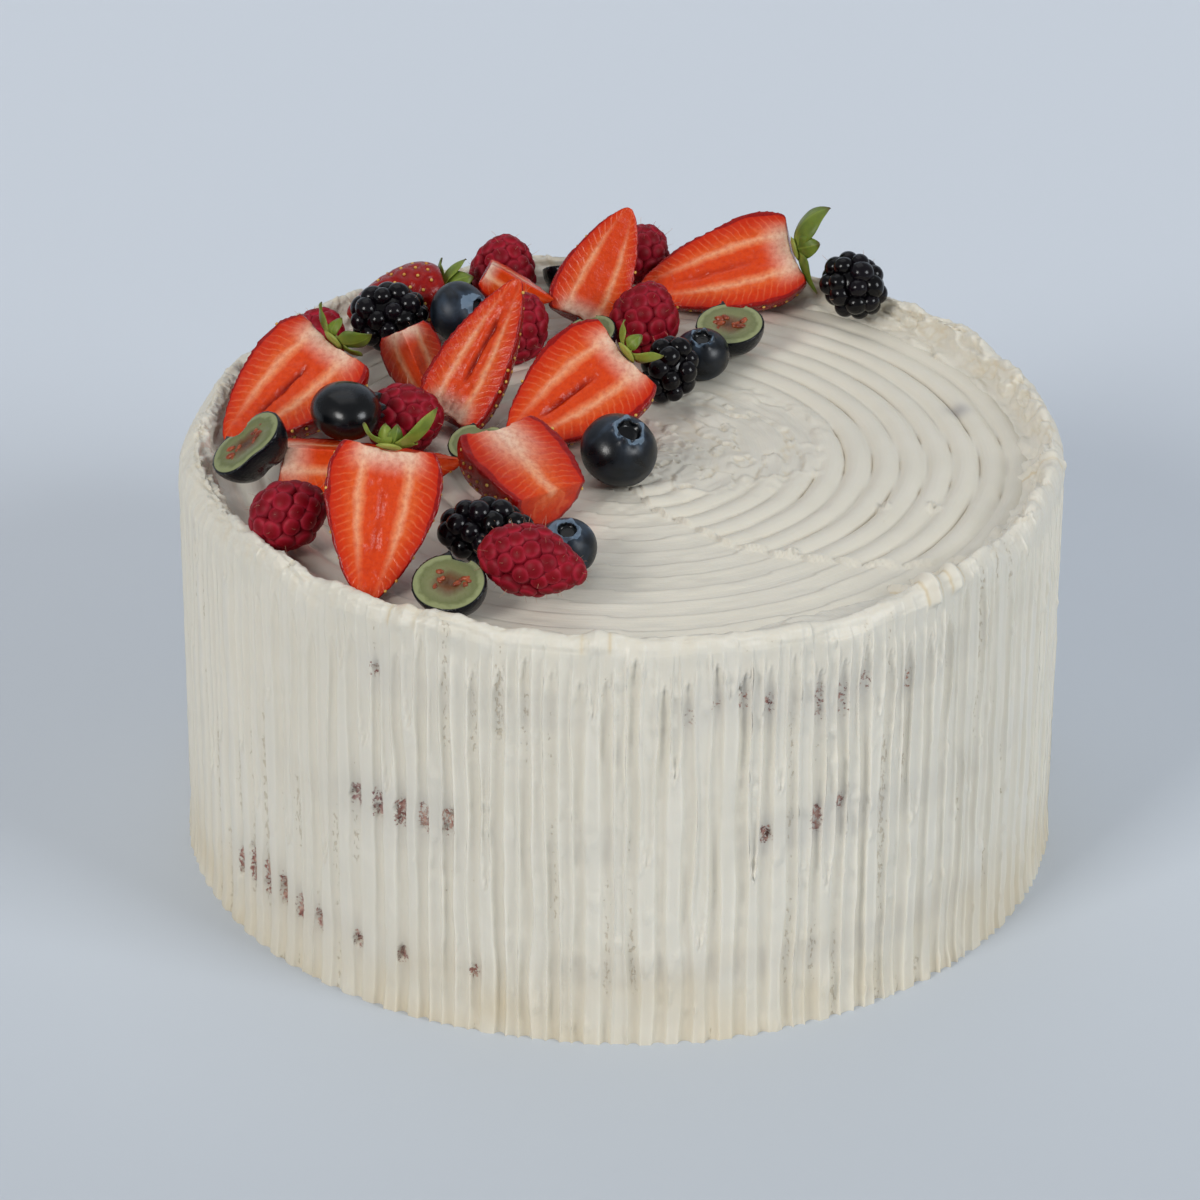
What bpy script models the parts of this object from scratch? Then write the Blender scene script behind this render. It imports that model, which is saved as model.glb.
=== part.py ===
"""A tall round layer cake in combed cream, with a heap of cut berries on its top.

Metres, +Z up. The origin is on the cake's axis, in the plane it stands on. The cake stands
with the fruit to the left and the back, as seen along +Y.
"""

import math

import bmesh
import bpy
import numpy as np
from mathutils import Euler, Matrix, Vector
from mathutils.bvhtree import BVHTree

MM = 0.001
GAP = 0.3 * MM

# The cake and the comb ridges up its side
CAKE_RADIUS = 106 * MM
TOP_HEIGHT = 99.5 * MM
SIDE_SWAY = 0.4 * MM
BASE_FLARE = 0.6 * MM
RIDGES = 108
RIDGE_DEPTH = 1.2 * MM
SIDES = 2 * RIDGES

# The ragged rim: it leans inward at the left and runs out into the top at the front right
RIM_RISE = 6.5 * MM
RIM_WIDTH = 8 * MM
RIM_RAGGED = 1.3 * MM
CREST_WIDTH = 2.5 * MM
LEAN_AZIMUTH, LEAN_WIDTH, LEAN = 175, 40, 2.5 * MM
LOW_AZIMUTH, LOW_WIDTH, LOW_DROP, LOW_SPREAD = -62, 17, 2 * MM, 5 * MM

# The rings that the comb left on the top, worn down towards the viewer
RING_PITCH = 6.4 * MM
RING_DEPTH = 1.2 * MM
RINGS = 10
RING_MARGIN = 5.5 * MM
WORN_AZIMUTH, WORN_WIDTH, WORN = -75, 40, 0.6
SMEAR_RADIUS = 16.5 * MM
SMEAR_LUMPS = 0.8 * MM

# The sponge layers inside, each as its bottom and top height
SPONGE_RADIUS = 103.2 * MM
SPONGE_LAYERS = {
    "sponge_lower": (11 * MM, 27 * MM),
    "sponge_middle": (43 * MM, 62 * MM),
    "sponge_upper": (78 * MM, 95 * MM),
}

# Places where the comb has scraped the cream off the sponge: azimuth in degrees, with -90
# towards the viewer, then the middle height and the length of the slit in mm
PATCHES = (
    (-147, 18, 8), (-143.6, 20, 10), (-140.3, 20, 11), (-137.5, 19, 9), (-134.5, 17, 7),
    (-131.5, 16, 6), (-124.5, 15.5, 5), (-117.8, 15.5, 5), (-110, 15.5, 4),
    (-126, 55, 6), (-123, 54.5, 8), (-119.5, 54, 9), (-116.2, 54, 9), (-113, 54.5, 8),
    (-71.7, 53, 5), (-65.5, 54.5, 7), (-61.6, 57.5, 4),
    (-122.7, 89.5, 5), (-81.5, 86, 5), (-78.5, 89, 4), (-75.3, 90, 8), (-71.6, 87, 6),
    (-65.5, 85, 11), (-62, 84.5, 10), (-58.5, 87, 6), (-51, 83.5, 7),
    (35, 17, 7), (39, 18, 9), (95, 54, 8), (99, 55, 6), (142, 86, 8), (148, 88, 5),
)
SLIT_WIDTH = 2.2 * MM
SLIT_REACH = 6 * MM

# The fruit
UNEVEN = 0.04
STRAWBERRY_STATIONS = 8
STRAWBERRY_DENT = 0.04
SLICE_THICKNESS = 8 * MM
CHUNK_SHARE = 0.6
RASPBERRY_BEAD = 2.4 * MM
BRAMBLE_BEAD = 3.4 * MM
TURN_OFF_AXIS = Matrix.Rotation(0.6, 4, "X") @ Matrix.Rotation(0.4, 4, "Z")
OVAL = 0.7
HUB_RADIUS = 1.7 * MM
HUB_CLEARANCE = 0.9 * MM
LEAF_THICKNESS = 0.5 * MM
DROP_FROM = 50 * MM

MATERIALS = {
    "cream": ((0.62, 0.59, 0.51), 0.5),
    "sponge": ((0.20, 0.07, 0.035), 0.9),
    "strawberry": ((0.75, 0.07, 0.02), 0.3),
    "raspberry": ((0.42, 0.012, 0.03), 0.45),
    "bramble": ((0.008, 0.006, 0.012), 0.2),
    "blueberry": ((0.02, 0.03, 0.06), 0.4),
    "blueberry_flesh": ((0.20, 0.22, 0.08), 0.35),
    "leaf": ((0.09, 0.19, 0.02), 0.5),
}

random = np.random.RandomState(23)


def clear_scene():
    """An empty file, whatever Blender started with."""
    for thing in list(bpy.data.objects):
        bpy.data.objects.remove(thing, do_unlink=True)


def collection(name):
    made = bpy.data.collections.new(name)
    bpy.context.scene.collection.children.link(made)
    return made


def material(name):
    made = bpy.data.materials.get(name)
    if made is None:
        made = bpy.data.materials.new(name)
        made.use_nodes = True
        color, roughness = MATERIALS[name]
        shader = made.node_tree.nodes["Principled BSDF"]
        shader.inputs["Base Color"].default_value = (*color, 1)
        shader.inputs["Roughness"].default_value = roughness
        shader.inputs["Metallic"].default_value = 0
    return made


def add_object(name, bm, finish, home, sharp_angle=50):
    """A mesh object from bm, which is freed, smooth but for edges over sharp_angle degrees."""
    bmesh.ops.recalc_face_normals(bm, faces=bm.faces)
    mesh = bpy.data.meshes.new(name)
    bm.to_mesh(mesh)
    bm.free()
    mesh.shade_smooth()
    mesh.set_sharp_from_angle(angle=math.radians(sharp_angle))
    mesh.materials.append(material(finish))
    made = bpy.data.objects.new(name, mesh)
    home.objects.link(made)
    return made


def waves(seed_turns, count):
    """A smooth function of azimuth within about -1 to 1, the same after a full turn."""
    turns = [random.randint(low, high) for low, high in seed_turns for _ in range(count)]
    phases = random.uniform(0, math.tau, len(turns))
    scale = 1.6 / len(turns)

    def height(azimuth):
        return scale * sum(math.sin(n * azimuth + p) for n, p in zip(turns, phases))

    return height


def hump(azimuth, centre, width):
    """1 at an azimuth of centre degrees, falling to nothing past width degrees."""
    off = (math.degrees(azimuth) - centre + 180) % 360 - 180
    return math.exp(-((off / width) ** 2))


def polar(radius, azimuth, height):
    return Vector((radius * math.cos(azimuth), radius * math.sin(azimuth), height))


def stitch(bm, outer, inner):
    """Faces between two rings of vertices, where the outer has as many, or a whole multiple."""
    ratio = len(outer) // len(inner)
    for i, near in enumerate(inner):
        ahead = inner[(i + 1) % len(inner)]
        start = i * ratio
        run = [outer[(start + k) % len(outer)] for k in range(ratio + 1)]
        if ratio == 1:
            bm.faces.new((run[0], run[1], ahead, near))
            continue
        middle = ratio // 2
        for k in range(ratio):
            bm.faces.new((run[k], run[k + 1], near if k < middle else ahead))
        bm.faces.new((run[middle], ahead, near))


def cream_skin():
    """The cream's outer form: combed side, ragged rim and ringed top, as one closed mesh."""
    bm = bmesh.new()
    sway = waves([(2, 6), (7, 14)], 3)
    ragged = waves([(9, 17), (20, 34)], 4)
    depths = RIDGE_DEPTH * random.uniform(0.6, 1.2, RIDGES)

    def ring(count, place):
        return [bm.verts.new(place(math.tau * i / count, i)) for i in range(count)]

    def groove(i, comb):
        """Every other point of the side lies at the bottom of a comb groove."""
        return comb * depths[i // 2] if i % 2 else 0.0

    def side(height, flare=0.0, comb=1.0):
        def place(azimuth, i):
            radius = CAKE_RADIUS + flare + SIDE_SWAY * sway(azimuth) - groove(i, comb)
            return polar(radius, azimuth, height)

        return ring(SIDES, place)

    def low(azimuth):
        return hump(azimuth, LOW_AZIMUTH, LOW_WIDTH)

    def lean(azimuth):
        return LEAN * hump(azimuth, LEAN_AZIMUTH, LEAN_WIDTH)

    def crest(inset, drop, comb):
        def place(azimuth, i):
            tear = RIM_RAGGED * ragged(azimuth)
            radius = CAKE_RADIUS - inset - lean(azimuth) + tear / 2 - groove(i, comb)
            height = TOP_HEIGHT + RIM_RISE + tear - LOW_DROP * low(azimuth) - drop
            return polar(radius, azimuth, height)

        return ring(SIDES, place)

    def foot(azimuth, i):
        radius = CAKE_RADIUS - RIM_WIDTH - lean(azimuth) - LOW_SPREAD * low(azimuth)
        return polar(radius, azimuth, TOP_HEIGHT + RIM_RAGGED / 3 * ragged(azimuth))

    def comb_ring(k):
        """Every other ring is the bottom of a groove; the inner rings need fewer points."""
        radius = CAKE_RADIUS - RIM_WIDTH - RING_MARGIN - k * RING_PITCH / 2
        depth = RING_DEPTH if k % 2 == 0 else 0.0

        def place(azimuth, i):
            left = 1 - WORN * hump(azimuth, WORN_AZIMUTH, WORN_WIDTH)
            return polar(radius + SIDE_SWAY * sway(azimuth), azimuth, TOP_HEIGHT - depth * left)

        return ring(SIDES // 3 if k < RINGS else SIDES // 6, place)

    def smear(azimuth, i):
        return polar(SMEAR_RADIUS, azimuth, TOP_HEIGHT + SMEAR_LUMPS * ragged(azimuth))

    rows = [
        side(0, flare=BASE_FLARE, comb=0.6),
        side(0.24 * TOP_HEIGHT),
        side(0.62 * TOP_HEIGHT),
        side(0.94 * TOP_HEIGHT),
        crest(-0.5 * MM, 2 * MM, comb=0.8),
        crest(CREST_WIDTH, 0, comb=0.3),
        ring(SIDES // 3, foot),
    ]
    rows += [comb_ring(k) for k in range(2 * RINGS)]
    rows.append(ring(SIDES // 12, smear))
    for outer, inner in zip(rows, rows[1:]):
        stitch(bm, outer, inner)
    bm.faces.new(reversed(rows[0]))
    bmesh.ops.poke(bm, faces=[bm.faces.new(rows[-1])])
    return bm


def rehome(made, home):
    """Moves the object that a primitive has just made to a collection."""
    for old in list(made.users_collection):
        old.objects.unlink(made)
    home.objects.link(made)


def add_cutter(made, home):
    rehome(made, home)
    made.hide_render = True
    made.display_type = "WIRE"


def sponge_disc(name, low, high, spare):
    """A disc between two heights, larger by spare all round."""
    bpy.ops.mesh.primitive_cylinder_add(
        vertices=48,
        radius=SPONGE_RADIUS + spare,
        depth=high - low + 2 * spare,
        location=(0, 0, (low + high) / 2),
    )
    disc = bpy.context.active_object
    disc.name = name
    return disc


def slit_cutter(azimuth, height, length):
    """A box along the comb groove nearest to azimuth, through the cream to the sponge."""
    step = 360 / RIDGES
    groove = math.radians((math.floor(azimuth / step) + 0.5) * step)
    bpy.ops.mesh.primitive_cube_add(
        size=1,
        location=polar(SPONGE_RADIUS + SLIT_REACH / 2 - MM, groove, height * MM),
        rotation=(0, 0, groove),
        scale=(SLIT_REACH, SLIT_WIDTH, length * MM),
    )
    bpy.ops.object.transform_apply(location=False, rotation=False, scale=True)
    return bpy.context.active_object


def make_cake(parts, cutters):
    """The cream coat with its three sponge layers, which the slits lay open."""
    coat = add_object("cream_coat", cream_skin(), "cream", parts, sharp_angle=60)
    for name, (low, high) in SPONGE_LAYERS.items():
        disc = sponge_disc(name, low, high, 0)
        disc.data.shade_smooth()
        disc.data.set_sharp_from_angle(angle=math.radians(40))
        disc.data.materials.append(material("sponge"))
        rehome(disc, parts)
        add_cutter(sponge_disc(name + "_room", low, high, GAP), cutters)
    for patch in PATCHES:
        add_cutter(slit_cutter(*patch), cutters)
    cut = coat.modifiers.new("sponge rooms", "BOOLEAN")
    cut.operation = "DIFFERENCE"
    cut.operand_type = "COLLECTION"
    cut.collection = cutters
    cut.solver = "EXACT"
    return coat


def turned(profile, steps):
    """A mesh turned about Z from (radius, height) points that run from the top down."""
    mesh = bpy.data.meshes.new("profile")
    points = [(radius, 0, height) for radius, height in profile]
    mesh.from_pydata(points, [(i, i + 1) for i in range(len(points) - 1)], [])
    blank = bpy.data.objects.new("profile", mesh)
    bpy.context.scene.collection.objects.link(blank)
    screw = blank.modifiers.new("turn", "SCREW")
    screw.steps = steps
    screw.render_steps = steps
    screw.use_merge_vertices = True
    screw.merge_threshold = 0.01 * MM
    solid = bpy.data.meshes.new_from_object(
        blank.evaluated_get(bpy.context.evaluated_depsgraph_get())
    )
    bpy.data.objects.remove(blank)
    bm = bmesh.new()
    bm.from_mesh(solid)
    bpy.data.meshes.remove(solid)
    bmesh.ops.remove_doubles(bm, verts=bm.verts, dist=0.01 * MM)
    bmesh.ops.recalc_face_normals(bm, faces=bm.faces)
    return bm


def slice_off(bm, point, outward):
    """Cuts away what lies past a plane and closes the cut with one flat face."""
    geometry = bm.verts[:] + bm.edges[:] + bm.faces[:]
    bmesh.ops.bisect_plane(
        bm, geom=geometry, plane_co=point, plane_no=outward, clear_outer=True, dist=0.001 * MM
    )
    bmesh.ops.holes_fill(bm, edges=[e for e in bm.edges if e.is_boundary])


def strawberry(length, width, cuts=(), steps=12):
    """A strawberry along X, calyx end at +X, cut by planes of (point, outward normal)."""
    profile = [(0, length / 2 - STRAWBERRY_DENT * length)]
    shoulder = 0.6
    for i in range(STRAWBERRY_STATIONS):
        along = (i + shoulder) / (STRAWBERRY_STATIONS + shoulder)
        bulge = math.sin(math.pi * along**0.56) ** 0.6
        profile.append((width / 2 * bulge, length / 2 - length * i / STRAWBERRY_STATIONS))
    profile.append((0, -length / 2))
    bm = turned(profile, steps)
    lumps = random.uniform(1 - UNEVEN, 1 + UNEVEN, len(bm.verts))
    for vert, lump in zip(bm.verts, lumps):
        vert.co.x *= lump
        vert.co.y *= lump
    bm.transform(Matrix.Rotation(math.pi / 2, 4, "Y"))
    for point, outward in cuts:
        slice_off(bm, point, outward)
    return bm


def half_strawberry(length, width):
    """Half a strawberry, its cut face up in the plane z = 0."""
    return strawberry(length, width, [((0, 0, 0), (0, 0, 1))])


def wedge_strawberry(length, width, angle=90):
    """A wedge of a strawberry between two cuts through its axis; its middle faces up."""
    half = math.radians(angle / 2)
    cuts = [
        ((0, 0, 0), (0, math.cos(half), math.sin(half))),
        ((0, 0, 0), (0, -math.cos(half), math.sin(half))),
    ]
    bm = strawberry(length, width, cuts)
    bm.transform(Matrix.Translation((0, 0, width / 4)))
    return bm


def strawberry_slice(length, width):
    """A slice along the axis of a strawberry, with one cut face up."""
    cuts = [((0, 0, 0), (0, 0, 1)), ((0, 0, -SLICE_THICKNESS), (0, 0, -1))]
    return strawberry(length, width, cuts)


def strawberry_chunk(length, width):
    """The calyx end of half a strawberry, cut across aslant."""
    cuts = [((0, 0, 0), (0, 0, 1)), ((length * (0.5 - CHUNK_SHARE), 0, 0), (-1, 0, 0.3))]
    return strawberry(length, width, cuts)


def beaded(length, width, taper, bead):
    """A berry of drupelets along X, stem end at +X: a bead stands over each point of a globe."""
    bm = bmesh.new()
    bmesh.ops.create_icosphere(bm, subdivisions=2, radius=1)
    tops = set(bm.verts)
    crossed = bm.edges[:]
    bmesh.ops.poke(bm, faces=bm.faces[:])
    bmesh.ops.rotate_edges(bm, edges=crossed, use_ccw=False)
    bm.transform(TURN_OFF_AXIS)
    for vert in bm.verts:
        way = vert.co.normalized()
        narrow = 1 - taper * max(0.0, -way.x)
        reach = 1 if vert in tops else 1 - bead / width
        vert.co = Vector(
            (way.x * length / 2, way.y * width / 2 * narrow, way.z * width / 2 * narrow)
        )
        vert.co *= reach * (random.uniform(1 - UNEVEN, 1 + UNEVEN / 2) if vert in tops else 1)
    return bm


def raspberry(length, width):
    return beaded(length, width, taper=0.25, bead=RASPBERRY_BEAD)


def bramble(length, width):
    return beaded(length, width, taper=0.1, bead=BRAMBLE_BEAD)


def blueberry_profile(width):
    """From the bottom of the crown's hollow over its lip and down the round of the berry."""
    radius = width / 2
    tall = 0.88 * radius
    profile = [(0, 0.80 * tall), (0.26 * radius, 0.86 * tall), (0.34 * radius, 1.02 * tall)]
    for degrees in (62, 36, 8, -22, -52):
        angle = math.radians(degrees)
        profile.append((radius * math.cos(angle), tall * math.sin(angle)))
    profile.append((0, -tall))
    return profile


def blueberry(width):
    """A whole blueberry with its crown at +X."""
    bm = turned(blueberry_profile(width), 10)
    bm.transform(Matrix.Rotation(math.pi / 2, 4, "Y"))
    return bm


def oval_blueberry(width):
    """A blueberry that is narrower one way across."""
    bm = blueberry(width)
    bm.transform(Matrix.Diagonal((1, OVAL, 1, 1)))
    return bm


def half_blueberry(width):
    """Half a blueberry, its cut face up in the plane z = 0 and its crown at +X."""
    bm = blueberry(width)
    slice_off(bm, (0, 0, 0), (0, 0, 1))
    return bm


def leaf_faces(bm, hub, angle, reach, lift, half_base):
    """One pointed leaf, hollow along its midrib; returns the two corners of its base."""
    around = math.radians(angle)
    out = Vector((0, math.cos(around), math.sin(around)))
    across = Vector((0, -math.sin(around), math.cos(around)))

    def place(along, side, fold=0.0):
        bend = math.radians(lift) * (0.3 + 0.7 * along)
        way = out * math.cos(bend) + Vector((1, 0, 0)) * math.sin(bend)
        spot = hub + out * HUB_RADIUS + way * reach * along + across * side
        return bm.verts.new(spot + way.cross(across) * fold)

    left, right = place(0, -half_base), place(0, half_base)
    rows = []
    for along, half in ((0.38, 0.22 * reach), (0.72, 0.17 * reach)):
        for side, fold in ((-half, 0.5 * MM), (0, -0.3 * MM), (half, 0.7 * MM)):
            rows.append(place(along, side, fold))
    a, b, c, d, e, f = rows
    tip = place(1, 0, 0.4 * MM)
    for corners in (
        (left, a, b), (left, b, right), (right, b, c), (a, d, b), (b, d, e),
        (b, e, f), (b, f, c), (d, tip, e), (e, tip, f),
    ):
        bm.faces.new(corners)
    return [left, right]


def hub_rim(bm, hub, start, sweep):
    """Points round the hub from one leaf to the next, at most 60 degrees apart."""
    spans = math.ceil(sweep / 60)
    made = []
    for k in range(1, spans):
        around = math.radians(start + sweep * k / spans)
        out = Vector((0, math.cos(around), math.sin(around)))
        made.append(bm.verts.new(hub + out * HUB_RADIUS))
    return made


def calyx(length, leaves):
    """A star of leaves over the calyx end at +X.

    Each leaf is its angle about the berry's axis, its length in mm and its lift in degrees
    from straight out towards straight along the stem.
    """
    bm = bmesh.new()
    hub = Vector((length / 2 + HUB_CLEARANCE, 0, 0))
    centre = bm.verts.new(hub)
    half_base = 0.045 * math.tau * HUB_RADIUS
    edge = []
    leaves = sorted(leaves)
    for (angle, reach, lift), ahead in zip(leaves, leaves[1:] + leaves[:1]):
        edge += leaf_faces(bm, hub, angle, reach * MM, lift, half_base)
        edge += hub_rim(bm, hub, angle, (ahead[0] - angle) % 360)
    for i, vert in enumerate(edge):
        bm.faces.new((centre, vert, edge[(i + 1) % len(edge)]))
    return bm


def thicken(leaf):
    """Gives a sheet its thickness to both sides, and keeps the modifier on it."""
    skin = leaf.modifiers.new("thickness", "SOLIDIFY")
    skin.thickness = LEAF_THICKNESS
    skin.offset = 0


# Each piece of fruit, those that lie lowest first: its name, its maker with sizes in mm, the
# place of its middle in mm, then its stem's heading and tilt and its roll in degrees, and the
# leaves of its calyx, where it has one
FRUIT = (
    ("strawberry_whole_back", strawberry, (25, 19), (-57, 67), (15, 6, -28), (
        (60, 10, 15), (100, 10, 50), (150, 9, 60), (20, 9, 30))),
    ("strawberry_half_left", half_strawberry, (37, 31), (-82, 7), (36, 31, 17), (
        (5, 10, 30), (80, 5, 60), (170, 9, 45), (225, 7, 20))),
    ("strawberry_quarter_left", wedge_strawberry, (44, 26), (-59, -22), (178, 3, -30), ()),
    ("raspberry_left", raspberry, (20, 17), (-76.5, -52), (-155, -20, 0), ()),
    ("blueberry_half_rim", half_blueberry, (20,), (-88.5, -26), (108, -7, -37), ()),
    ("blueberry_half_front", half_blueberry, (18,), (-39, -83), (63, 30, 1), ()),
    ("bramble_front", bramble, (23, 16), (-31.5, -56), (180, 0, 0), ()),
    ("raspberry_front", raspberry, (26, 18), (-20.5, -80), (165, 8, 0), ()),
    ("blueberry_front", blueberry, (14,), (-12.5, -60.5), (-90, 67, 0), ()),
    ("strawberry_chunk", strawberry_chunk, (38, 28), (-18.5, -37.5), (130, 25, 5), ()),
    ("blueberry_centre", blueberry, (18.5,), (-0.5, -15), (-53, 60, 0), ()),
    ("blueberry_half_inner", half_blueberry, (15,), (-34.5, -8.5), (73, 24, -5), ()),
    ("raspberry_inner", raspberry, (21, 18), (-52, 1), (160, -20, 0), ()),
    ("strawberry_wedge_left", wedge_strawberry, (25, 22), (-49, 28), (128, 50, -34), ()),
    ("strawberry_half_middle", half_strawberry, (37, 29), (-13, 7), (31, 25, 34), (
        (10, 7, 40), (90, 5, 60), (180, 8, 50))),
    ("strawberry_half_inner", half_strawberry, (39, 21), (-34, 16), (-138, -51, -14), ()),
    ("bramble_inner", bramble, (18, 15), (12, 31), (69, 50, 0), ()),
    ("blueberry_inner", blueberry, (14,), (20, 44), (-90, 69, 0), ()),
    ("blueberry_half_back", half_blueberry, (17.5,), (27, 56), (76, 19, -2), ()),
    ("bramble_right", bramble, (19, 17), (59, 75.5), (141, 40, 0), ()),
    ("strawberry_half_right", half_strawberry, (43, 26), (24, 83), (10, 13, 38), (
        (55, 14, 62), (15, 8, 60), (120, 7, 60), (190, 8, 5))),
    ("strawberry_slice_tall", strawberry_slice, (32, 20), (-4.5, 72.5), (-130, -50, -43), ()),
    ("raspberry_middle", raspberry, (20, 18), (6.5, 57), (-134, -70, 0), ()),
    ("raspberry_core", raspberry, (20, 17), (-26, 52), (-160, -60, 0), ()),
    ("blueberry_half_leafy", half_blueberry, (10,), (-42.5, 85), (60, 45, 0), ()),
    ("raspberry_back", raspberry, (20, 18), (-28.5, 83.5), (-120, -70, 0), ()),
    ("strawberry_wedge_back", wedge_strawberry, (19, 16), (-26, 68), (168, 26, -30), ()),
    ("raspberry_far", raspberry, (17, 17), (5.5, 95), (-153, -60, 0), ()),
    ("blueberry_half_far", half_blueberry, (14,), (-14, 93), (0, 0, -34), ()),
    ("raspberry_far_left", raspberry, (18, 16), (-76, 46), (-160, -60, 0), ()),
    ("bramble_left", bramble, (21, 18), (-58, 51), (-175, 0, 0), ()),
    ("blueberry_half_middle", half_blueberry, (14,), (-8, 51), (93, 22, -17), ()),
    ("blueberry_back", blueberry, (15.5,), (-40, 50), (-35, 23, 0), ()),
    ("blueberry_left", oval_blueberry, (19,), (-64.5, -11), (-155, 0, 90), ()),
    ("strawberry_half_front", half_strawberry, (37, 27), (-55.5, -67), (77, 53, 15), (
        (0, 7, 35), (60, 5, 60), (105, 5, 60), (165, 13, 50), (205, 6, 20))),
)


def place_matrix(spot, turn):
    heading, tilt, roll = (math.radians(angle) for angle in turn)
    spin = Euler((roll, -tilt, heading), "XYZ").to_matrix().to_4x4()
    return Matrix.Translation((spot[0] * MM, spot[1] * MM, 0)) @ spin


def solid_tree(thing):
    """The evaluated surface of an object, ready for tests of what it crosses."""
    bm = bmesh.new()
    bm.from_object(thing, bpy.context.evaluated_depsgraph_get())
    bm.transform(thing.matrix_world)
    tree = BVHTree.FromBMesh(bm)
    corners = [vert.co.copy() for vert in bm.verts]
    faces = [[vert.index for vert in face.verts] for face in bm.faces]
    bm.free()
    return tree, corners, faces


def rest_height(surfaces, placed):
    """How far to raise a piece so that it comes down from above onto what is there."""

    def crosses(lift):
        for corners, faces in surfaces:
            raised = BVHTree.FromPolygons([c + Vector((0, 0, lift)) for c in corners], faces)
            if any(raised.overlap(tree) for tree in placed):
                return True
        return False

    step = 1.0 * MM
    lift = TOP_HEIGHT + DROP_FROM
    while not crosses(lift - step):
        lift -= step
    fine = 0.1 * MM
    while not crosses(lift - fine):
        lift -= fine
    return lift + GAP


def make_fruit(parts, coat):
    """Every berry and its leaves, each brought down to rest on the cream or on other fruit."""
    finishes = (
        ("strawberry", "strawberry"), ("raspberry", "raspberry"), ("bramble", "bramble"),
        ("blueberry_half", "blueberry_flesh"), ("blueberry", "blueberry"),
    )
    placed = [solid_tree(coat)[0]]
    for name, maker, sizes, spot, turn, leaves in FRUIT:
        finish = next(kind for start, kind in finishes if name.startswith(start))
        scaled = [size * MM for size in sizes]
        group = [add_object(name, maker(*scaled), finish, parts)]
        if leaves:
            star = add_object(name + "_calyx", calyx(scaled[0], leaves), "leaf", parts)
            thicken(star)
            group.append(star)
        for piece in group:
            piece.matrix_world = place_matrix(spot, turn)
        bpy.context.view_layer.update()
        surfaces = [solid_tree(piece)[1:] for piece in group]
        lift = rest_height(surfaces, placed)
        for piece in group:
            piece.location.z += lift
        bpy.context.view_layer.update()
        placed += [solid_tree(piece)[0] for piece in group]


def main():
    clear_scene()
    parts = collection("berry_cake")
    cutters = collection("cutters")
    coat = make_cake(parts, cutters)
    bpy.context.view_layer.update()
    make_fruit(parts, coat)


main()
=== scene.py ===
"""The looks of a tall layer cake in combed buttercream, with a heap of cut berries on its top.

Every piece of the frame is replaced by a finer one of the same form in the same place: combed
and torn cream, crumb where the comb scraped through, and berries with their drupelets, seeds,
hairs, bloom and cut flesh.
"""

import math

import bmesh
import bpy
import numpy as np
from mathutils import Euler, Matrix, Vector


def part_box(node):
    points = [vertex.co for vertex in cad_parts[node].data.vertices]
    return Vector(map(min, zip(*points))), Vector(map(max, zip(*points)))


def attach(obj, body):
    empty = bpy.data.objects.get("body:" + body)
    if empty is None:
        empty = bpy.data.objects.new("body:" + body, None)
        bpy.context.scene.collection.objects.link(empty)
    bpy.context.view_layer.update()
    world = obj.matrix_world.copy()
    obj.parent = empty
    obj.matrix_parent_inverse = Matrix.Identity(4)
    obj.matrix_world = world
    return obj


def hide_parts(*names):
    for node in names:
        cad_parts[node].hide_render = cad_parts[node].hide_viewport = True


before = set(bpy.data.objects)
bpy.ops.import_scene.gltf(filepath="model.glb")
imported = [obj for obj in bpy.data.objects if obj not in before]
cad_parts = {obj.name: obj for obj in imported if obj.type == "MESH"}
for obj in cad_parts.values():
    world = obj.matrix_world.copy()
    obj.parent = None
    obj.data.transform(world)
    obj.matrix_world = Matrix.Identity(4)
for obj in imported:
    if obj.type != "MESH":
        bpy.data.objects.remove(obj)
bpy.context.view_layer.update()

MM = 0.001

# The cake, as in the frame
CAKE_RADIUS = 106 * MM
TOP_HEIGHT = 99.5 * MM
SIDE_SWAY = 0.4 * MM
BASE_FLARE = 0.6 * MM
GROOVES = 108
GROOVE_DEPTH = 1.2 * MM
GROOVE_HALF = 1.45 * MM
GROOVE_PITCH = math.tau * CAKE_RADIUS / GROOVES
LIP_WIDTH = 0.42 * MM
LIP_HEIGHT = 0.5 * MM
RIM_RAGGED = 1.3 * MM
LEAN_AZIMUTH, LEAN_WIDTH, LEAN = 175, 40, 2.5 * MM
LOW_AZIMUTH, LOW_WIDTH, LOW_DROP, LOW_SPREAD = -62, 17, 2 * MM, 5 * MM
RING_PITCH = 6.4 * MM
RING_DEPTH = 1.2 * MM
OUTER_RING = CAKE_RADIUS - 13.5 * MM
COAT_DEPTH = 13 * MM
FILLING_RADIUS = CAKE_RADIUS - 12.9 * MM
SPONGE_RADIUS = 103.2 * MM

# The heights between which sponge lies behind the cream, in mm
SPONGE_BANDS = ((13, 25), (46, 60), (80, 93))

# Broad folds of the rim: azimuth in degrees, width and height in mm
FOLDS = (
    (-47.5, 1.7, 2.0), (-43.5, 1.5, 1.7), (-93, 2.4, 1.2), (-7, 2.0, 1.4), (-118, 2.6, 1.3),
    (70, 2.2, 1.5),
)

# Places on the top, in mm: small torn curls, a grey spot of thin cream, and juice away from fruit
CURLS = ((62, -27), (74, -27), (40, -52))
FAINT_SPOT = (82.7, 25.4)
JUICE_SPOTS = ((6, 14), (40, 70))

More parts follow.
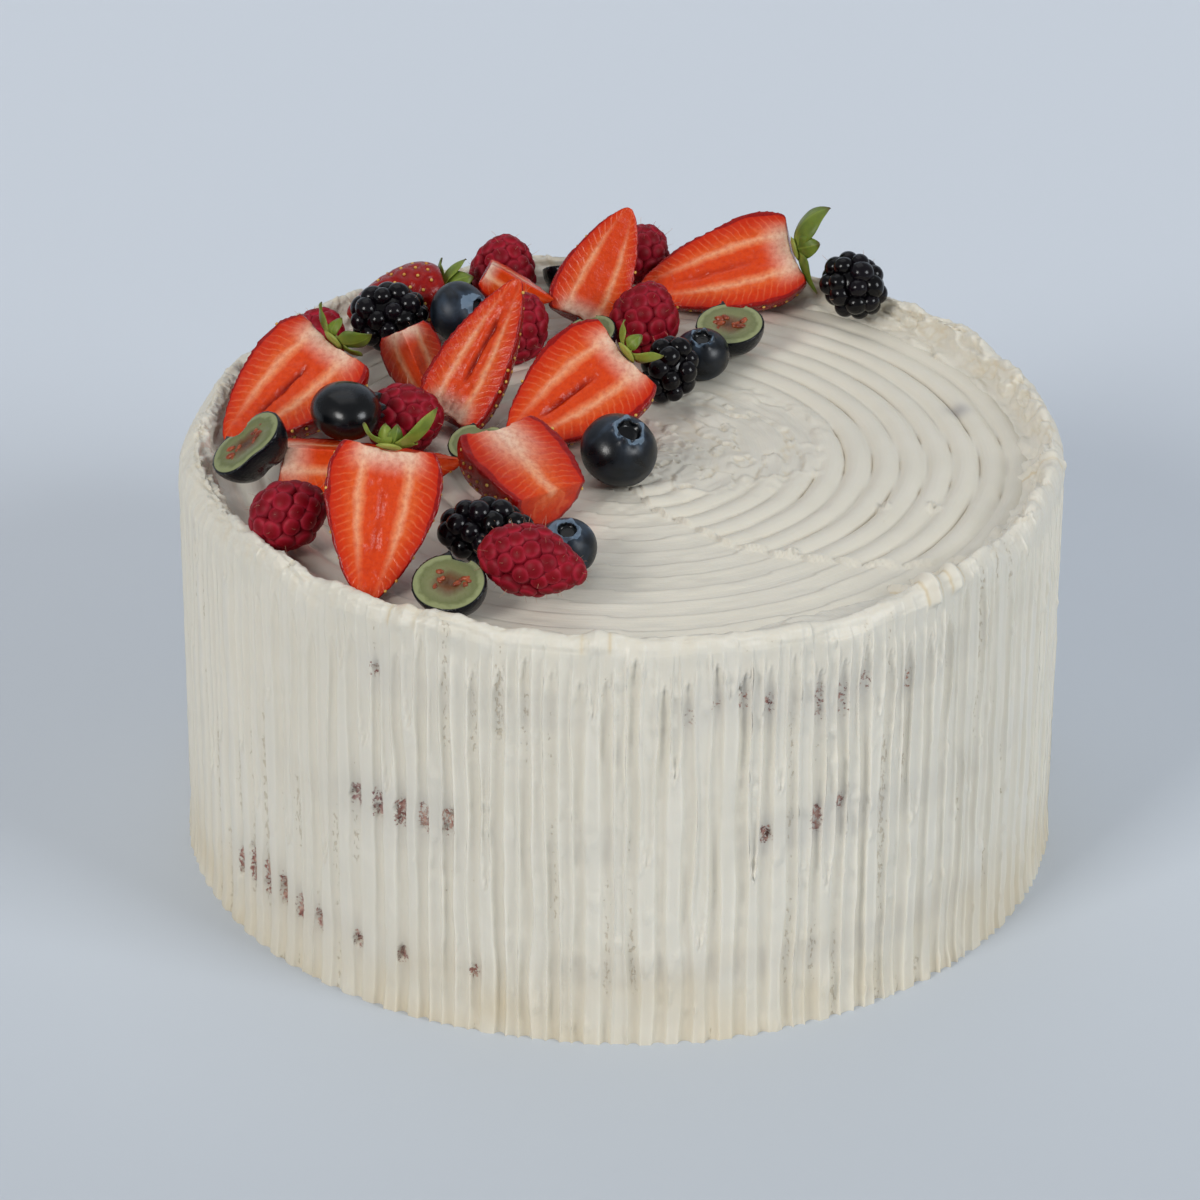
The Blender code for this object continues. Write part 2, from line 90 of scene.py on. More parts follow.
# Scraped places: azimuth in degrees, with -90 towards the viewer, middle height and length in mm
PATCHES = (
    (-147, 18, 8), (-143.6, 20, 10), (-140.3, 20, 11), (-137.5, 19, 9), (-134.5, 17, 7),
    (-131.5, 16, 6), (-124.5, 15.5, 5), (-117.8, 15.5, 5), (-110, 15.5, 4),
    (-126, 55, 6), (-123, 54.5, 8), (-119.5, 54, 9), (-116.2, 54, 9), (-113, 54.5, 8),
    (-71.7, 53, 5), (-65.5, 54.5, 7), (-61.6, 57.5, 4),
    (-122.7, 89.5, 5), (-81.5, 86, 5), (-78.5, 89, 4), (-75.3, 90, 8), (-71.6, 87, 6),
    (-65.5, 85, 11), (-62, 84.5, 10), (-58.5, 87, 6), (-51, 83.5, 7),
    (35, 17, 7), (39, 18, 9), (95, 54, 8), (99, 55, 6), (142, 86, 8), (148, 88, 5),
)

# The camera, fitted to the photograph: its place, and what its picture's right and up are
CAMERA_PLACE = Vector((-0.0048, -1.08363, 0.63799))
CAMERA_RIGHT = Vector((0.99997888, 0.00306077, 0.00573421))
CAMERA_UP = Vector((-0.00649995, 0.47088062, 0.88217299))
CAMERA_LENS = 150.6

LATTICE = np.random.RandomState(5).uniform(-1, 1, (64, 64, 64))


def soft_noise(points, size, shift=0.0):
    """Smooth noise from -1 to 1 at an array of points, with lumps about size across."""
    spot = points / size + shift
    cell = np.floor(spot).astype(int)
    part = spot - cell
    part = part * part * (3 - 2 * part)
    total = np.zeros(spot.shape[:-1])
    for corner in np.ndindex(2, 2, 2):
        at = (cell + corner) % 64
        weight = np.prod(np.where(corner, part, 1 - part), axis=-1)
        total += weight * LATTICE[at[..., 0], at[..., 1], at[..., 2]]
    return total


def rough_noise(points, size, shift=0.0):
    """Three sizes of soft noise on top of each other."""
    total = soft_noise(points, size, shift)
    total += 0.5 * soft_noise(points, size / 2.1, shift + 7.3)
    return (total + 0.25 * soft_noise(points, size / 4.3, shift + 3.1)) / 1.4


def ease(low, high, value):
    """0 below low and 1 above high, with a soft start and end."""
    part = np.clip((value - low) / (high - low), 0, 1)
    return part * part * (3 - 2 * part)


def bell(value, width):
    return np.exp(-((value / width) ** 2))


def around(azimuth, centre):
    """Degrees from centre to an azimuth in radians, from -180 to 180."""
    return (np.degrees(azimuth) - centre + 180) % 360 - 180


def band_of(height):
    """1 where sponge lies behind the cream, with soft edges."""
    bands = [ease(low * MM, (low + 4) * MM, height) * ease(-high * MM, (4 - high) * MM, -height)
             for low, high in SPONGE_BANDS]
    return sum(bands)


def stacked(*parts):
    """Arrays of coordinates, spread to the same shape, as one array of points."""
    return np.stack(np.broadcast_arrays(*parts), -1)


def polar(radius, azimuth, height):
    return stacked(radius * np.cos(azimuth), radius * np.sin(azimuth), height)


def away_from(spot, x, y):
    """How far points lie from the upright line at x and y, which are in mm."""
    return np.hypot(spot[..., 0] - x * MM, spot[..., 1] - y * MM)


class Shape:
    """Points and faces of a piece, with values at its points, before it becomes a mesh."""

    def __init__(self, points, faces, finish=0, **values):
        self.points = np.asarray(points, float).reshape(-1, 3)
        self.faces = [np.asarray(block) for block in faces]
        self.finishes = [np.full(len(block), finish) for block in self.faces]
        self.values = {key: np.asarray(value, float) * np.ones(len(self.points))
                       for key, value in values.items()}

    def moved(self, matrix):
        turn = np.array(matrix.to_3x3())
        self.points = self.points @ turn.T + np.array(matrix.translation)
        return self


def joined(shapes):
    """One shape of several; a value that a shape lacks is 0 there."""
    whole = Shape(np.concatenate([s.points for s in shapes]), [])
    start = 0
    for shape in shapes:
        whole.faces += [block + start for block in shape.faces]
        whole.finishes += shape.finishes
        start += len(shape.points)
    for key in {key for shape in shapes for key in shape.values}:
        parts = [shape.values.get(key, np.zeros(len(shape.points))) for shape in shapes]
        whole.values[key] = np.concatenate(parts)
    return whole


def grid_faces(rows, columns, closed=False):
    """Quads over points numbered row by row, each row closed on itself or not."""
    down = np.arange(rows - 1)[:, None] * columns
    along = np.arange(columns if closed else columns - 1)[None]
    first = down + along
    second = down + (along + 1) % columns
    return np.stack([first, second, second + columns, first + columns], -1).reshape(-1, 4)


def fan(first, second, pole):
    """Triangles between two rows of numbered points and a pole."""
    return np.stack([first, second, np.full(len(first), pole)], -1)


def placed(name, data):
    """A new object in the scene."""
    made = bpy.data.objects.new(name, data)
    bpy.context.scene.collection.objects.link(made)
    return made


def mesh_of(name, shape, path=None):
    """The mesh of a shape; path is where each point lies along the comb's or the knife's way."""
    mesh = bpy.data.meshes.new(name)
    mesh.from_pydata(shape.points, [], [face for block in shape.faces for face in block.tolist()])
    mesh.polygons.foreach_set("material_index", np.concatenate(shape.finishes).astype(np.int32))
    for key, value in shape.values.items():
        mesh.attributes.new(key, "FLOAT", "POINT").data.foreach_set("value", value)
    if path is not None:
        mesh.attributes.new("path", "FLOAT_VECTOR", "POINT").data.foreach_set("vector", path.ravel())
    mesh.shade_smooth()
    return mesh


def add_piece(name, mesh, finishes, nodes, matrix=None):
    """A piece that rides with the cake and stands for some of the frame's nodes."""
    piece = placed(name, mesh)
    for finish in finishes:
        mesh.materials.append(finish)
    if matrix is not None:
        piece.matrix_world = matrix
    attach(piece, "root")
    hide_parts(*nodes)


# Materials


BLEND = {"data_type": "RGBA"}
SOFT = {"interpolation_type": "SMOOTHSTEP"}
TIMES = {"operation": "MULTIPLY"}
TIMES_PLUS = {"operation": "MULTIPLY_ADD"}


def linear(code):
    """The linear colour of an sRGB hex code."""
    parts = [int(code[i:i + 2], 16) / 255 for i in (1, 3, 5)]
    return [p / 12.92 if p <= 0.04045 else ((p + 0.055) / 1.055) ** 2.4 for p in parts] + [1]


def add(tree, kind, settings, inputs, output=0):
    """Adds a node with its settings, values and links, and returns one of its outputs."""
    made = tree.nodes.new("ShaderNode" + kind)
    for key, value in settings.items():
        setattr(made, key, value)
    for key, value in inputs.items():
        if isinstance(value, bpy.types.NodeSocket):
            tree.links.new(value, made.inputs[key])
        else:
            made.inputs[key].default_value = value
    return made.outputs[output]


def material(name, **values):
    """A new material and its node tree, with plain values set on its shader."""
    made = bpy.data.materials.new(name)
    made.use_nodes = True
    shader = made.node_tree.nodes["Principled BSDF"]
    for key, value in values.items():
        shader.inputs[key.replace("_", " ")].default_value = value
    return made, made.node_tree


def ramp(tree, value, stops):
    """A colour ramp through (position, hex code) stops."""
    color = add(tree, "ValToRGB", {}, {0: value})
    points = color.node.color_ramp.elements
    while len(points) < len(stops):
        points.new(0.5)
    for point, (position, code) in zip(points, stops):
        point.position = position
        point.color = linear(code)
    return color


def finished(made, color, height=None, strength=1.0, depth=0.0):
    """The material with its colour and, where there is a height, relief as deep as depth."""
    tree = made.node_tree
    shader = tree.nodes["Principled BSDF"]
    tree.links.new(color, shader.inputs["Base Color"])
    if height is not None:
        bump = add(tree, "Bump", {}, {"Strength": strength, "Distance": depth, "Height": height})
        tree.links.new(bump, shader.inputs["Normal"])
    return made


def crumb_color(tree, place):
    """The colour of crumb, and its height: red-brown, with painted shade darkening its pores about 1 mm
    across.
    """
    pores = add(tree, "TexVoronoi", {}, {"Vector": place, "Scale": 1 / (1.5 * MM)})
    grain = add(tree, "TexNoise", {}, {"Vector": place, "Scale": 1 / (2.4 * MM), "Detail": 4.0})
    depth = add(tree, "Math", TIMES, {0: pores, 1: grain})
    tone = add(tree, "TexNoise", {}, {"Vector": place, "Scale": 1 / (25 * MM)})
    # The darkest stops fall in the pores, as painted shade
    warm = ramp(tree, depth, ((0.04, "#6A2C1A"), (0.2, "#A65A3A"), (0.45, "#CB9C7C")))
    cool = ramp(tree, depth, ((0.04, "#55464A"), (0.2, "#8A7678"), (0.45, "#B8A9A6")))
    color = add(tree, "Mix", BLEND, {0: tone, 6: warm, 7: cool}, 2)
    return color, depth


def buttercream():
    """Buttercream, fat and sugar whipped to a foam: half matt, and lit a little from within.

    Thin cream over sponge looks grey. Painted shade makes creases, grooves and the top's ring valleys
    darker and yellow, and greys the ring valleys and the low ends of worn steps; the side is also darker
    and yellower towards its foot. The thin lips that the comb left are painted lighter as a highlight, and
    juice stains it pink. Where the comb scraped it off, crumb and torn bubbles show, their pits painted
    darker as shade.
    """
    made, tree = material(
        "whipped_buttercream", Roughness=0.45, IOR=1.46, Subsurface_Weight=0.12,
        Subsurface_Radius=(1, 0.8, 0.6), Subsurface_Scale=0.9 * MM)
    place = add(tree, "TexCoord", {}, {}, "Object")
    mottled = add(tree, "TexNoise", {}, {"Vector": place, "Scale": 1 / (14 * MM), "Detail": 3.0})
    color = add(tree, "Mix", BLEND, {0: mottled, 6: linear("#DCD7C8"), 7: linear("#E4DFD2")}, 2)
    # The lips get a painted highlight and the creases painted shade. Thin places get the grey of thin cream
    # over sponge, and on the top painted shade as well. Stains get a juice pink.
    for key, code in (("lip", "#F2ECDD"), ("thin", "#98979B"), ("crease", "#CDB584"), ("stain", "#D89A92")):
        share = add(tree, "Attribute", {"attribute_name": key}, {}, "Fac")
        color = add(tree, "Mix", BLEND, {0: share, 6: color, 7: linear(code)}, 2)

    # Torn bubbles and pits, under 1 mm wide and about 2 mm long, drawn out along the comb's path
    path = add(tree, "Attribute", {"attribute_name": "path"}, {}, "Vector")
    rough, bare = [add(tree, "Attribute", {"attribute_name": key}, {}, "Fac") for key in ("rough", "bare")]
    pit = (1 / (0.8 * MM), 1 / (2.1 * MM), 1)
    cells = add(tree, "VectorMath", TIMES, {0: path, 1: pit})
    speck = add(tree, "TexNoise", {}, {"Vector": cells, "Scale": 1.0, "Detail": 2.0, "Roughness": 0.6})
    likely = add(tree, "Math", TIMES_PLUS, {0: rough, 1: 0.3, 2: speck})
    hole = add(tree, "MapRange", SOFT, {0: likely, 1: 0.78, 2: 0.84})
    # The pits are painted darker, as shade
    shade = add(tree, "Math", TIMES, {0: hole, 1: 0.35})
    color = add(tree, "Mix", BLEND, {0: shade, 6: color, 7: linear("#A08A66")}, 2)

    # Crumb dragged into the cream round the bare places, in bits about 1 mm across
    bits = add(tree, "TexNoise", {}, {
        "Vector": place, "Scale": 1 / (0.9 * MM), "Detail": 3.0, "Roughness": 0.7})
    covered = add(tree, "Math", TIMES_PLUS, {0: bare, 1: 0.43, 2: bits})
    crumbs = add(tree, "MapRange", SOFT, {0: covered, 1: 0.86, 2: 0.95})
    baked, pores = crumb_color(tree, place)
    color = add(tree, "Mix", BLEND, {0: crumbs, 6: color, 7: baked}, 2)

    # Drag lines under 1 mm apart along the comb's path, and the foam's grain. Its bubbles are under
    # 0.1 mm, too fine to show, and are drawn at 0.9 mm.
    lines = add(tree, "VectorMath", TIMES, {0: path, 1: (1 / (0.8 * MM), 1 / (22 * MM), 1)})
    drag = add(tree, "TexNoise", {}, {"Vector": lines, "Scale": 1.0, "Detail": 2.0})
    grain = add(tree, "TexNoise", {}, {"Vector": place, "Scale": 1 / (0.9 * MM), "Detail": 2.0})
    height = add(tree, "Math", TIMES_PLUS, {0: grain, 1: 0.5, 2: drag})
    for part, weight in ((hole, -2.2), (crumbs, -2.5), (pores, crumbs)):
        height = add(tree, "Math", TIMES_PLUS, {0: part, 1: weight, 2: height})
    return finished(made, color, height, 0.6, 0.12 * MM)


def sponge_crumb():
    """Baked sponge: dry, open crumb, matt all over."""
    made, tree = material("baked_sponge", Roughness=0.85, IOR=1.4)
    place = add(tree, "TexCoord", {}, {}, "Object")
    color, depth = crumb_color(tree, place)
    return finished(made, color, depth, 1.0, 0.6 * MM)


def strawberry_flesh():
    """Ripe strawberry, cut with a knife: glossy red skin round wet orange-red flesh.

    inward is 0 on the berry's axis and 1 at its skin; share is 0 at the calyx and 1 at the tip.
    """
    made, tree = material(
        "ripe_strawberry", Roughness=0.26, IOR=1.38, Subsurface_Weight=0.08,
        Subsurface_Radius=(1, 0.3, 0.15), Subsurface_Scale=0.8 * MM)
    place = add(tree, "TexCoord", {}, {}, "Object")
    inward, share, slit = [add(tree, "Attribute", {"attribute_name": key}, {}, "Fac")
                           for key in ("inward", "share", "slit")]
    wobble = add(tree, "TexNoise", {}, {"Vector": place, "Scale": 1 / (5 * MM), "Detail": 3.0})
    shifted = add(tree, "Math", TIMES_PLUS, {0: wobble, 1: 0.16, 2: inward})
    core = ramp(tree, shifted, (
        (0.0, "#DA4210"), (0.34, "#DD4814"), (0.43, "#EB8454"), (0.5, "#F0A67C"), (0.6, "#E26028"),
        (0.75, "#D73E08"), (0.98, "#C42406"), (1.06, "#8A0609")))
    pith = ramp(tree, shifted, (
        (0.0, "#D74210"), (0.7, "#D73E08"), (0.98, "#C42406"), (1.06, "#8A0609")))
    faded = add(tree, "MapRange", SOFT, {0: share, 1: 0.5, 2: 0.9, 3: 0.0, 4: 0.85})
    color = add(tree, "Mix", BLEND, {0: faded, 6: core, 7: pith}, 2)

    # Pale vascular streaks about 1.9 mm apart, slanting from the pale ring towards the tip
    along = add(tree, "SeparateXYZ", {}, {0: place}, "X")
    slant = add(tree, "Math", TIMES, {0: inward, 1: 3.2})
    turns = add(tree, "Math", TIMES_PLUS, {0: along, 1: 1 / (1.9 * MM), 2: slant})
    turns = add(tree, "Math", TIMES_PLUS, {0: wobble, 1: 1.6, 2: turns})
    wave = add(tree, "Math", {"operation": "PINGPONG"}, {0: turns, 1: 0.5})
    streak = add(tree, "MapRange", SOFT, {0: wave, 1: 0.3, 2: 0.5})
    outer = add(tree, "MapRange", SOFT, {0: inward, 1: 0.42, 2: 0.55, 3: 0.0, 4: 0.42})
    edge = add(tree, "MapRange", SOFT, {0: inward, 1: 0.72, 2: 0.96, 3: 1.0, 4: 0.0})
    for part in (outer, edge):
        streak = add(tree, "Math", TIMES, {0: streak, 1: part})

    # The white patch under the calyx, the slit in the middle darkened as painted shade, and darker wet
    # cells.
    # The cells are about 0.2 mm across, too fine to show, and are drawn at 1.3 mm.
    white = add(tree, "MapRange", SOFT, {0: share, 1: 0.02, 2: 0.22, 3: 1.0, 4: 0.0})
    inner = add(tree, "MapRange", SOFT, {0: inward, 1: 0.35, 2: 0.85, 3: 1.0, 4: 0.0})
    white = add(tree, "Math", TIMES, {0: white, 1: inner})
    mottle = add(tree, "TexNoise", {}, {
        "Vector": place, "Scale": 1 / (1.3 * MM), "Detail": 4.0, "Roughness": 0.65})
    deep = add(tree, "MapRange", {}, {0: mottle, 1: 0.42, 2: 0.75, 3: 0.0, 4: 0.5})
    layers = ((streak, "#EC7848"), (white, "#EFCDB4"), (slit, "#951C05"), (deep, "#B52405"))
    for part, code in layers:
        color = add(tree, "Mix", BLEND, {0: part, 6: color, 7: linear(code)}, 2)

    height = add(tree, "Math", TIMES_PLUS, {0: streak, 1: 0.6, 2: mottle})
    return finished(made, color, height, 0.7, 0.25 * MM)


def strawberry_seed():
    """A strawberry's dry seed: straw yellow, browner here and there."""
    made, tree = material("strawberry_seed", Roughness=0.5, IOR=1.45)
    place = add(tree, "TexCoord", {}, {}, "Object")
    tone = add(tree, "TexNoise", {}, {"Vector": place, "Scale": 1 / (4 * MM)})
    color = ramp(tree, tone, ((0.35, "#C98A35"), (0.6, "#DDB35A")))
    return finished(made, color)


def raspberry_skin():
    """Raspberry drupelets: thin, downy crimson skin, so dull, and paler towards the seams, with painted
    shade in the crevices between them.
    """
    made, tree = material(
        "raspberry_skin", Roughness=0.5, IOR=1.36, Specular_IOR_Level=0.3, Subsurface_Weight=0.1,
        Subsurface_Radius=(1, 0.2, 0.15), Subsurface_Scale=0.8 * MM)
    outward, tone = [add(tree, "Attribute", {"attribute_name": key}, {}, "Fac")
                     for key in ("outward", "tone")]
    place = add(tree, "TexCoord", {}, {}, "Object")
    blotch = add(tree, "TexNoise", {}, {"Vector": place, "Scale": 1 / (1.6 * MM), "Detail": 2.0})
    shifted = add(tree, "Math", TIMES_PLUS, {0: blotch, 1: 0.1, 2: outward})
    # The darkest stop, low on each drupelet's flank and on the core seen in the gaps, is painted shade in
    # the crevices
    color = ramp(tree, shifted, (
        (0.5, "#84101F"), (0.7, "#A82034"), (0.8, "#9C1228"), (0.9, "#8C061A"), (1.05, "#800414")))
    dark = add(tree, "Math", TIMES, {0: tone, 1: 0.4})
    color = add(tree, "Mix", BLEND, {0: dark, 6: color, 7: linear("#5E0312")}, 2)
    return finished(made, color, blotch, 0.5, 0.12 * MM)


def bramble_skin():
    """Bramble drupelets: taut, near-black purple skin with a high gloss."""
    made, tree = material("bramble_skin", Roughness=0.17, IOR=1.42, Specular_IOR_Level=0.35)
    tone = add(tree, "Attribute", {"attribute_name": "tone"}, {}, "Fac")
    color = ramp(tree, tone, ((0.2, "#050406"), (0.8, "#0E0A10")))
    place = add(tree, "TexCoord", {}, {}, "Object")
    grain = add(tree, "TexNoise", {}, {"Vector": place, "Scale": 1 / (1.5 * MM), "Detail": 2.0})
    return finished(made, color, grain, 0.3, 0.08 * MM)


def berry_hair():
    """The dried styles on drupelets: fine, pale straw pink."""
    made, tree = material("berry_hair", Roughness=0.6, IOR=1.45)
    tone = add(tree, "Attribute", {"attribute_name": "tone"}, {}, "Fac")
    color = ramp(tree, tone, ((0.0, "#A86A58"), (1.0, "#D9B08C")))
    return finished(made, color)


def blueberry_skin():
    """Blueberry skin: near-black navy under a waxy blue-grey bloom that handling has rubbed."""
    made, tree = material("bloomed_blueberry", IOR=1.42)
    place = add(tree, "TexCoord", {}, {}, "Object")
    bloom = add(tree, "Attribute", {"attribute_name": "bloom"}, {}, "Fac")
    broad = add(tree, "TexNoise", {}, {
        "Vector": place, "Scale": 1 / (6 * MM), "Detail": 5.0, "Distortion": 0.6})
    cover = add(tree, "Math", {"operation": "ADD"}, {0: broad, 1: bloom})
    color = ramp(tree, cover, ((0.55, "#07090C"), (0.8, "#131A23"), (1.0, "#2E3C4C"), (1.25, "#66798C")))
    gloss = add(tree, "MapRange", {}, {0: cover, 1: 0.55, 2: 1.0, 3: 0.24, 4: 0.5})
    tree.links.new(gloss, tree.nodes["Principled BSDF"].inputs["Roughness"])
    grain = add(tree, "TexNoise", {}, {"Vector": place, "Scale": 1 / (1.2 * MM), "Detail": 3.0})
    return finished(made, color, grain, 0.35, 0.1 * MM)


def blueberry_flesh():
    """Cut blueberry: wet olive flesh, paler under a thick dark skin, brownish at its core."""
    made, tree = material(
        "cut_blueberry", Roughness=0.2, IOR=1.36, Subsurface_Weight=0.1,
        Subsurface_Radius=(0.8, 1, 0.5), Subsurface_Scale=0.8 * MM)
    place = add(tree, "TexCoord", {}, {}, "Object")
    inward = add(tree, "Attribute", {"attribute_name": "inward"}, {}, "Fac")
    wobble = add(tree, "TexNoise", {}, {"Vector": place, "Scale": 1 / (2.6 * MM), "Detail": 4.0})
    shifted = add(tree, "Math", TIMES_PLUS, {0: wobble, 1: 0.3, 2: inward})
    color = ramp(tree, shifted, (
        (0.15, "#4A2C1A"), (0.36, "#6C482E"), (0.52, "#6E6244"), (0.66, "#7A7C54"), (0.9, "#6C7248"),
        (1.1, "#8E9468")))
    skin = add(tree, "MapRange", {}, {0: inward, 1: 0.925, 2: 0.95})
    color = add(tree, "Mix", BLEND, {0: skin, 6: color, 7: linear("#0E1016")}, 2)
    fibre = add(tree, "TexNoise", {}, {"Vector": place, "Scale": 1 / (0.8 * MM), "Detail": 3.0})
    return finished(made, color, fibre, 0.8, 0.2 * MM)


def blueberry_seed():
    """A blueberry's seed in its torn pocket: wet red-brown."""
    made, tree = material("blueberry_seed", Roughness=0.35, IOR=1.45)
    place = add(tree, "TexCoord", {}, {}, "Object")
    tone = add(tree, "TexNoise", {}, {"Vector": place, "Scale": 1 / (1.5 * MM)})
    color = ramp(tree, tone, ((0.35, "#6E2A14"), (0.65, "#A8512C")))
    return finished(made, color)


def fresh_leaf():
    """A strawberry's green sepals: satin, paler along the veins, browner at a dry tip."""
    made, tree = material(
        "strawberry_sepal", Roughness=0.45, IOR=1.42, Subsurface_Weight=0.1, Subsurface_Scale=0.6 * MM)
    place = add(tree, "TexCoord", {}, {}, "Object")
    along, side, fresh = [add(tree, "Attribute", {"attribute_name": key}, {}, "Fac")
                          for key in ("along", "side", "fresh")]
    tone = add(tree, "TexNoise", {}, {"Vector": place, "Scale": 1 / (4 * MM), "Detail": 3.0})
    mixed = add(tree, "Math", TIMES_PLUS, {0: tone, 1: 0.6, 2: fresh})
    color = ramp(tree, mixed, ((0.3, "#3C521A"), (0.6, "#70822A"), (1.0, "#A9B04A")))
    rib = add(tree, "MapRange", {}, {0: side, 1: 0.0, 2: 0.12, 3: 0.45, 4: 0.0})
    base = add(tree, "MapRange", {}, {0: along, 1: 0.0, 2: 0.3, 3: 0.8, 4: 0.0})
    tip = add(tree, "MapRange", {}, {0: along, 1: 0.88, 2: 1.0, 3: 0.0, 4: 0.8})
    for part, code in ((rib, "#93A445"), (base, "#A9AD52"), (tip, "#4E3A1E")):
        color = add(tree, "Mix", BLEND, {0: part, 6: color, 7: linear(code)}, 2)
    return finished(made, color, tone, 0.5, 0.15 * MM)


# Cream


def waves(random, seed_turns, count):
    """A smooth function of azimuth within about -1 to 1, the same after a full turn."""
    turns = [random.randint(low, high) for low, high in seed_turns for _ in range(count)]
    phases = random.uniform(0, math.tau, len(turns))
    scale = 1.6 / len(turns)
    return lambda azimuth: scale * sum(np.sin(n * azimuth + p) for n, p in zip(turns, phases))


cream_random = np.random.RandomState(23)
sway = waves(cream_random, [(2, 6), (7, 14)], 3)
ragged = waves(cream_random, [(9, 17), (20, 34)], 4)


def patch_distances(azimuth, height):
    """For each scraped place: how far points lie across and along from its middle, and its length."""
    for centre, middle, length in PATCHES:
        groove = (math.floor(centre / 360 * GROOVES) + 0.5) * 360 / GROOVES
        across = np.radians(around(azimuth, groove)) * CAKE_RADIUS
        yield across, height - middle * MM, length * MM


def torn(points, size, shift):
    """Torn plates: gentle slopes that end in sharp steps, from 0 to 1."""
    level = 1.6 * rough_noise(points, size, shift)
    part = level - np.floor(level)
    return part * ease(1.0, 0.86, part)


def comb_relief(groove, near, far, side, azimuth, height):
    """The comb's mark on the side of the cake, as a height in metres, and how much it is a lip.

    near is 0 in the middle of a groove and 1 at its edge; far is 0 there and 1 in the middle of
    the crest between two grooves. A tongue is the upper stretch of a crest that the comb's back
    has pressed flat, between two sharp lips, down to a round end.
    """
    random = np.random.RandomState(31)
    crest = np.where(side < 0, groove - 1, groove) % GROOVES
    own = stacked(groove * 0.37, height, 0.0)
    theirs = stacked(crest * 0.53, height, 0.5)
    smooth = 0.9 * bell(around(azimuth, -172), 24) + 0.3 * bell(around(azimuth, -132), 18)
    depth = GROOVE_DEPTH * (0.62 + 0.3 * soft_noise(own, 20 * MM)) * (1 - 0.8 * smooth)
    top = TOP_HEIGHT + random.uniform(-6, 3, GROOVES)[groove] * MM
    narrow = np.sqrt(np.clip((top - height) / (8 * MM), 0.001, 1))
    depth = depth * ease(0, 3 * MM, top - height)
    relief = -depth * (1 - np.minimum(near / narrow, 1) ** 2) ** 0.8

    ends = np.where(random.uniform(0, 1, GROOVES) < 0.3, -20, random.uniform(25, 96, GROOVES))
    above = (height - ends[crest] * MM) / (9 * MM)
    reach = np.sqrt(np.clip(above, 0, 1)) * 0.86
    middle = 1 - far
    inside = ease(0.02, 0.12, reach - middle)
    rounded = 0.4 * MM * (1 - middle ** 2)
    relief = relief + np.where(near < 1, 0, rounded * (1 - inside) - 0.25 * MM * inside)
    half_crest = GROOVE_PITCH / 2 - GROOVE_HALF
    lip = bell((middle - reach) * half_crest, LIP_WIDTH) * ease(-0.1, 0.1, above)
    edge = np.where(near < 1, (near - 1) * GROOVE_HALF, far * half_crest)
    ridge = 0.75 * bell(edge - 0.22 * MM, LIP_WIDTH) * ease(0.5, 0.9, narrow)
    lip = np.maximum(lip * (near >= 1), ridge)
    tall = np.clip(0.7 + 0.9 * soft_noise(theirs, 13 * MM), 0, 1.3)
    tall = tall * (1 - smooth) * ease(0, 2 * MM, top + 3 * MM - height)
    point = bell((near - narrow) * GROOVE_HALF, LIP_WIDTH) * ease(1.0, 0.8, narrow) * (near < 1)
    point = point * ease(-1 * MM, 1 * MM, top - height)
    lip = np.maximum(lip, point) * tall
    return relief + LIP_HEIGHT * lip, np.clip(lip, 0, 1)


def rim_profile():
    """The coat's section as (radius, height), from the foot of the side over the rim and in."""
    side = [(0, h) for h in np.linspace(0, TOP_HEIGHT + 2.5 * MM, 92)]
    rim = np.array([(0, 2.5), (0.4, 4.3), (1.4, 5.9), (2.8, 6.5), (4.0, 5.8), (4.9, 4.2),
                    (5.8, 2.4), (7.2, 0.9), (9.2, 0.1), (11.5, -1.2)]) * MM
    steps = np.concatenate([[0], np.cumsum(np.linalg.norm(np.diff(rim, axis=0), axis=1))])
    even = np.linspace(0, steps[-1], 35)[1:]
    over = [(np.interp(s, steps, rim[:, 0]), TOP_HEIGHT + np.interp(s, steps, rim[:, 1])) for s in even]
    inner = [(COAT_DEPTH, TOP_HEIGHT - 5 * MM), (COAT_DEPTH, 40 * MM), (COAT_DEPTH, 0)]
    section = np.array(side + over + inner)
    return CAKE_RADIUS - section[:, 0], section[:, 1]


def rim_push(spot, azimuth, radius, rim):
    """Folds, torn plates and creases of the rim, as a push outward and the painted shade, darker and
    yellow, in its creases.
    """
    stretched = np.stack([azimuth * CAKE_RADIUS * 0.5, spot[..., 2], radius * np.ones(azimuth.shape)], -1)
    fold = np.abs(rough_noise(stretched, 6 * MM, 1.7))
    plate = torn(stretched * (0.7, 1, 1), 8 * MM, 4.4)
    flake = torn(stretched * (1.5, 1, 1), 3.2 * MM, 8.1)
    slope = ease(4 * MM, 8 * MM, CAKE_RADIUS - radius)
    back = bell(around(azimuth, 45), 42)
    front = bell(around(azimuth, -74), 42)
    left = bell(around(azimuth, -175), 45)
    outer = 0.35 + 0.65 * ease(0.3 * MM, 2.5 * MM, CAKE_RADIUS - radius)
    wild = rim * outer * (1 - 0.85 * slope * (1 - 0.3 * back)) * (1 - 0.65 * front)
    push = wild * (1.6 * MM * (plate - 0.4) + (0.3 + 0.5 * left) * MM * (flake - 0.4))
    push = push + wild * 0.1 * MM * soft_noise(spot, 1.5 * MM, 2.9)
    push = push + rim * outer * 2.2 * MM * (fold - 0.22) * (1 - 0.45 * front)
    # Painted shade at the low ends of the torn plates and along the fold lines
    crease = 0.6 * wild * np.maximum(0.5 * bell(plate - 0.02, 0.05), bell(fold, 0.04))
    # Each broad fold stands out, with painted shade along its flanks
    for centre, wide, tall in FOLDS:
        aside = np.radians(around(azimuth, centre)) * CAKE_RADIUS
        push = push + rim * tall * MM * bell(aside, wide * MM)
        crease = np.maximum(crease, rim * bell(np.abs(aside) - 1.3 * wide * MM, 0.3 * MM))
    return push, crease


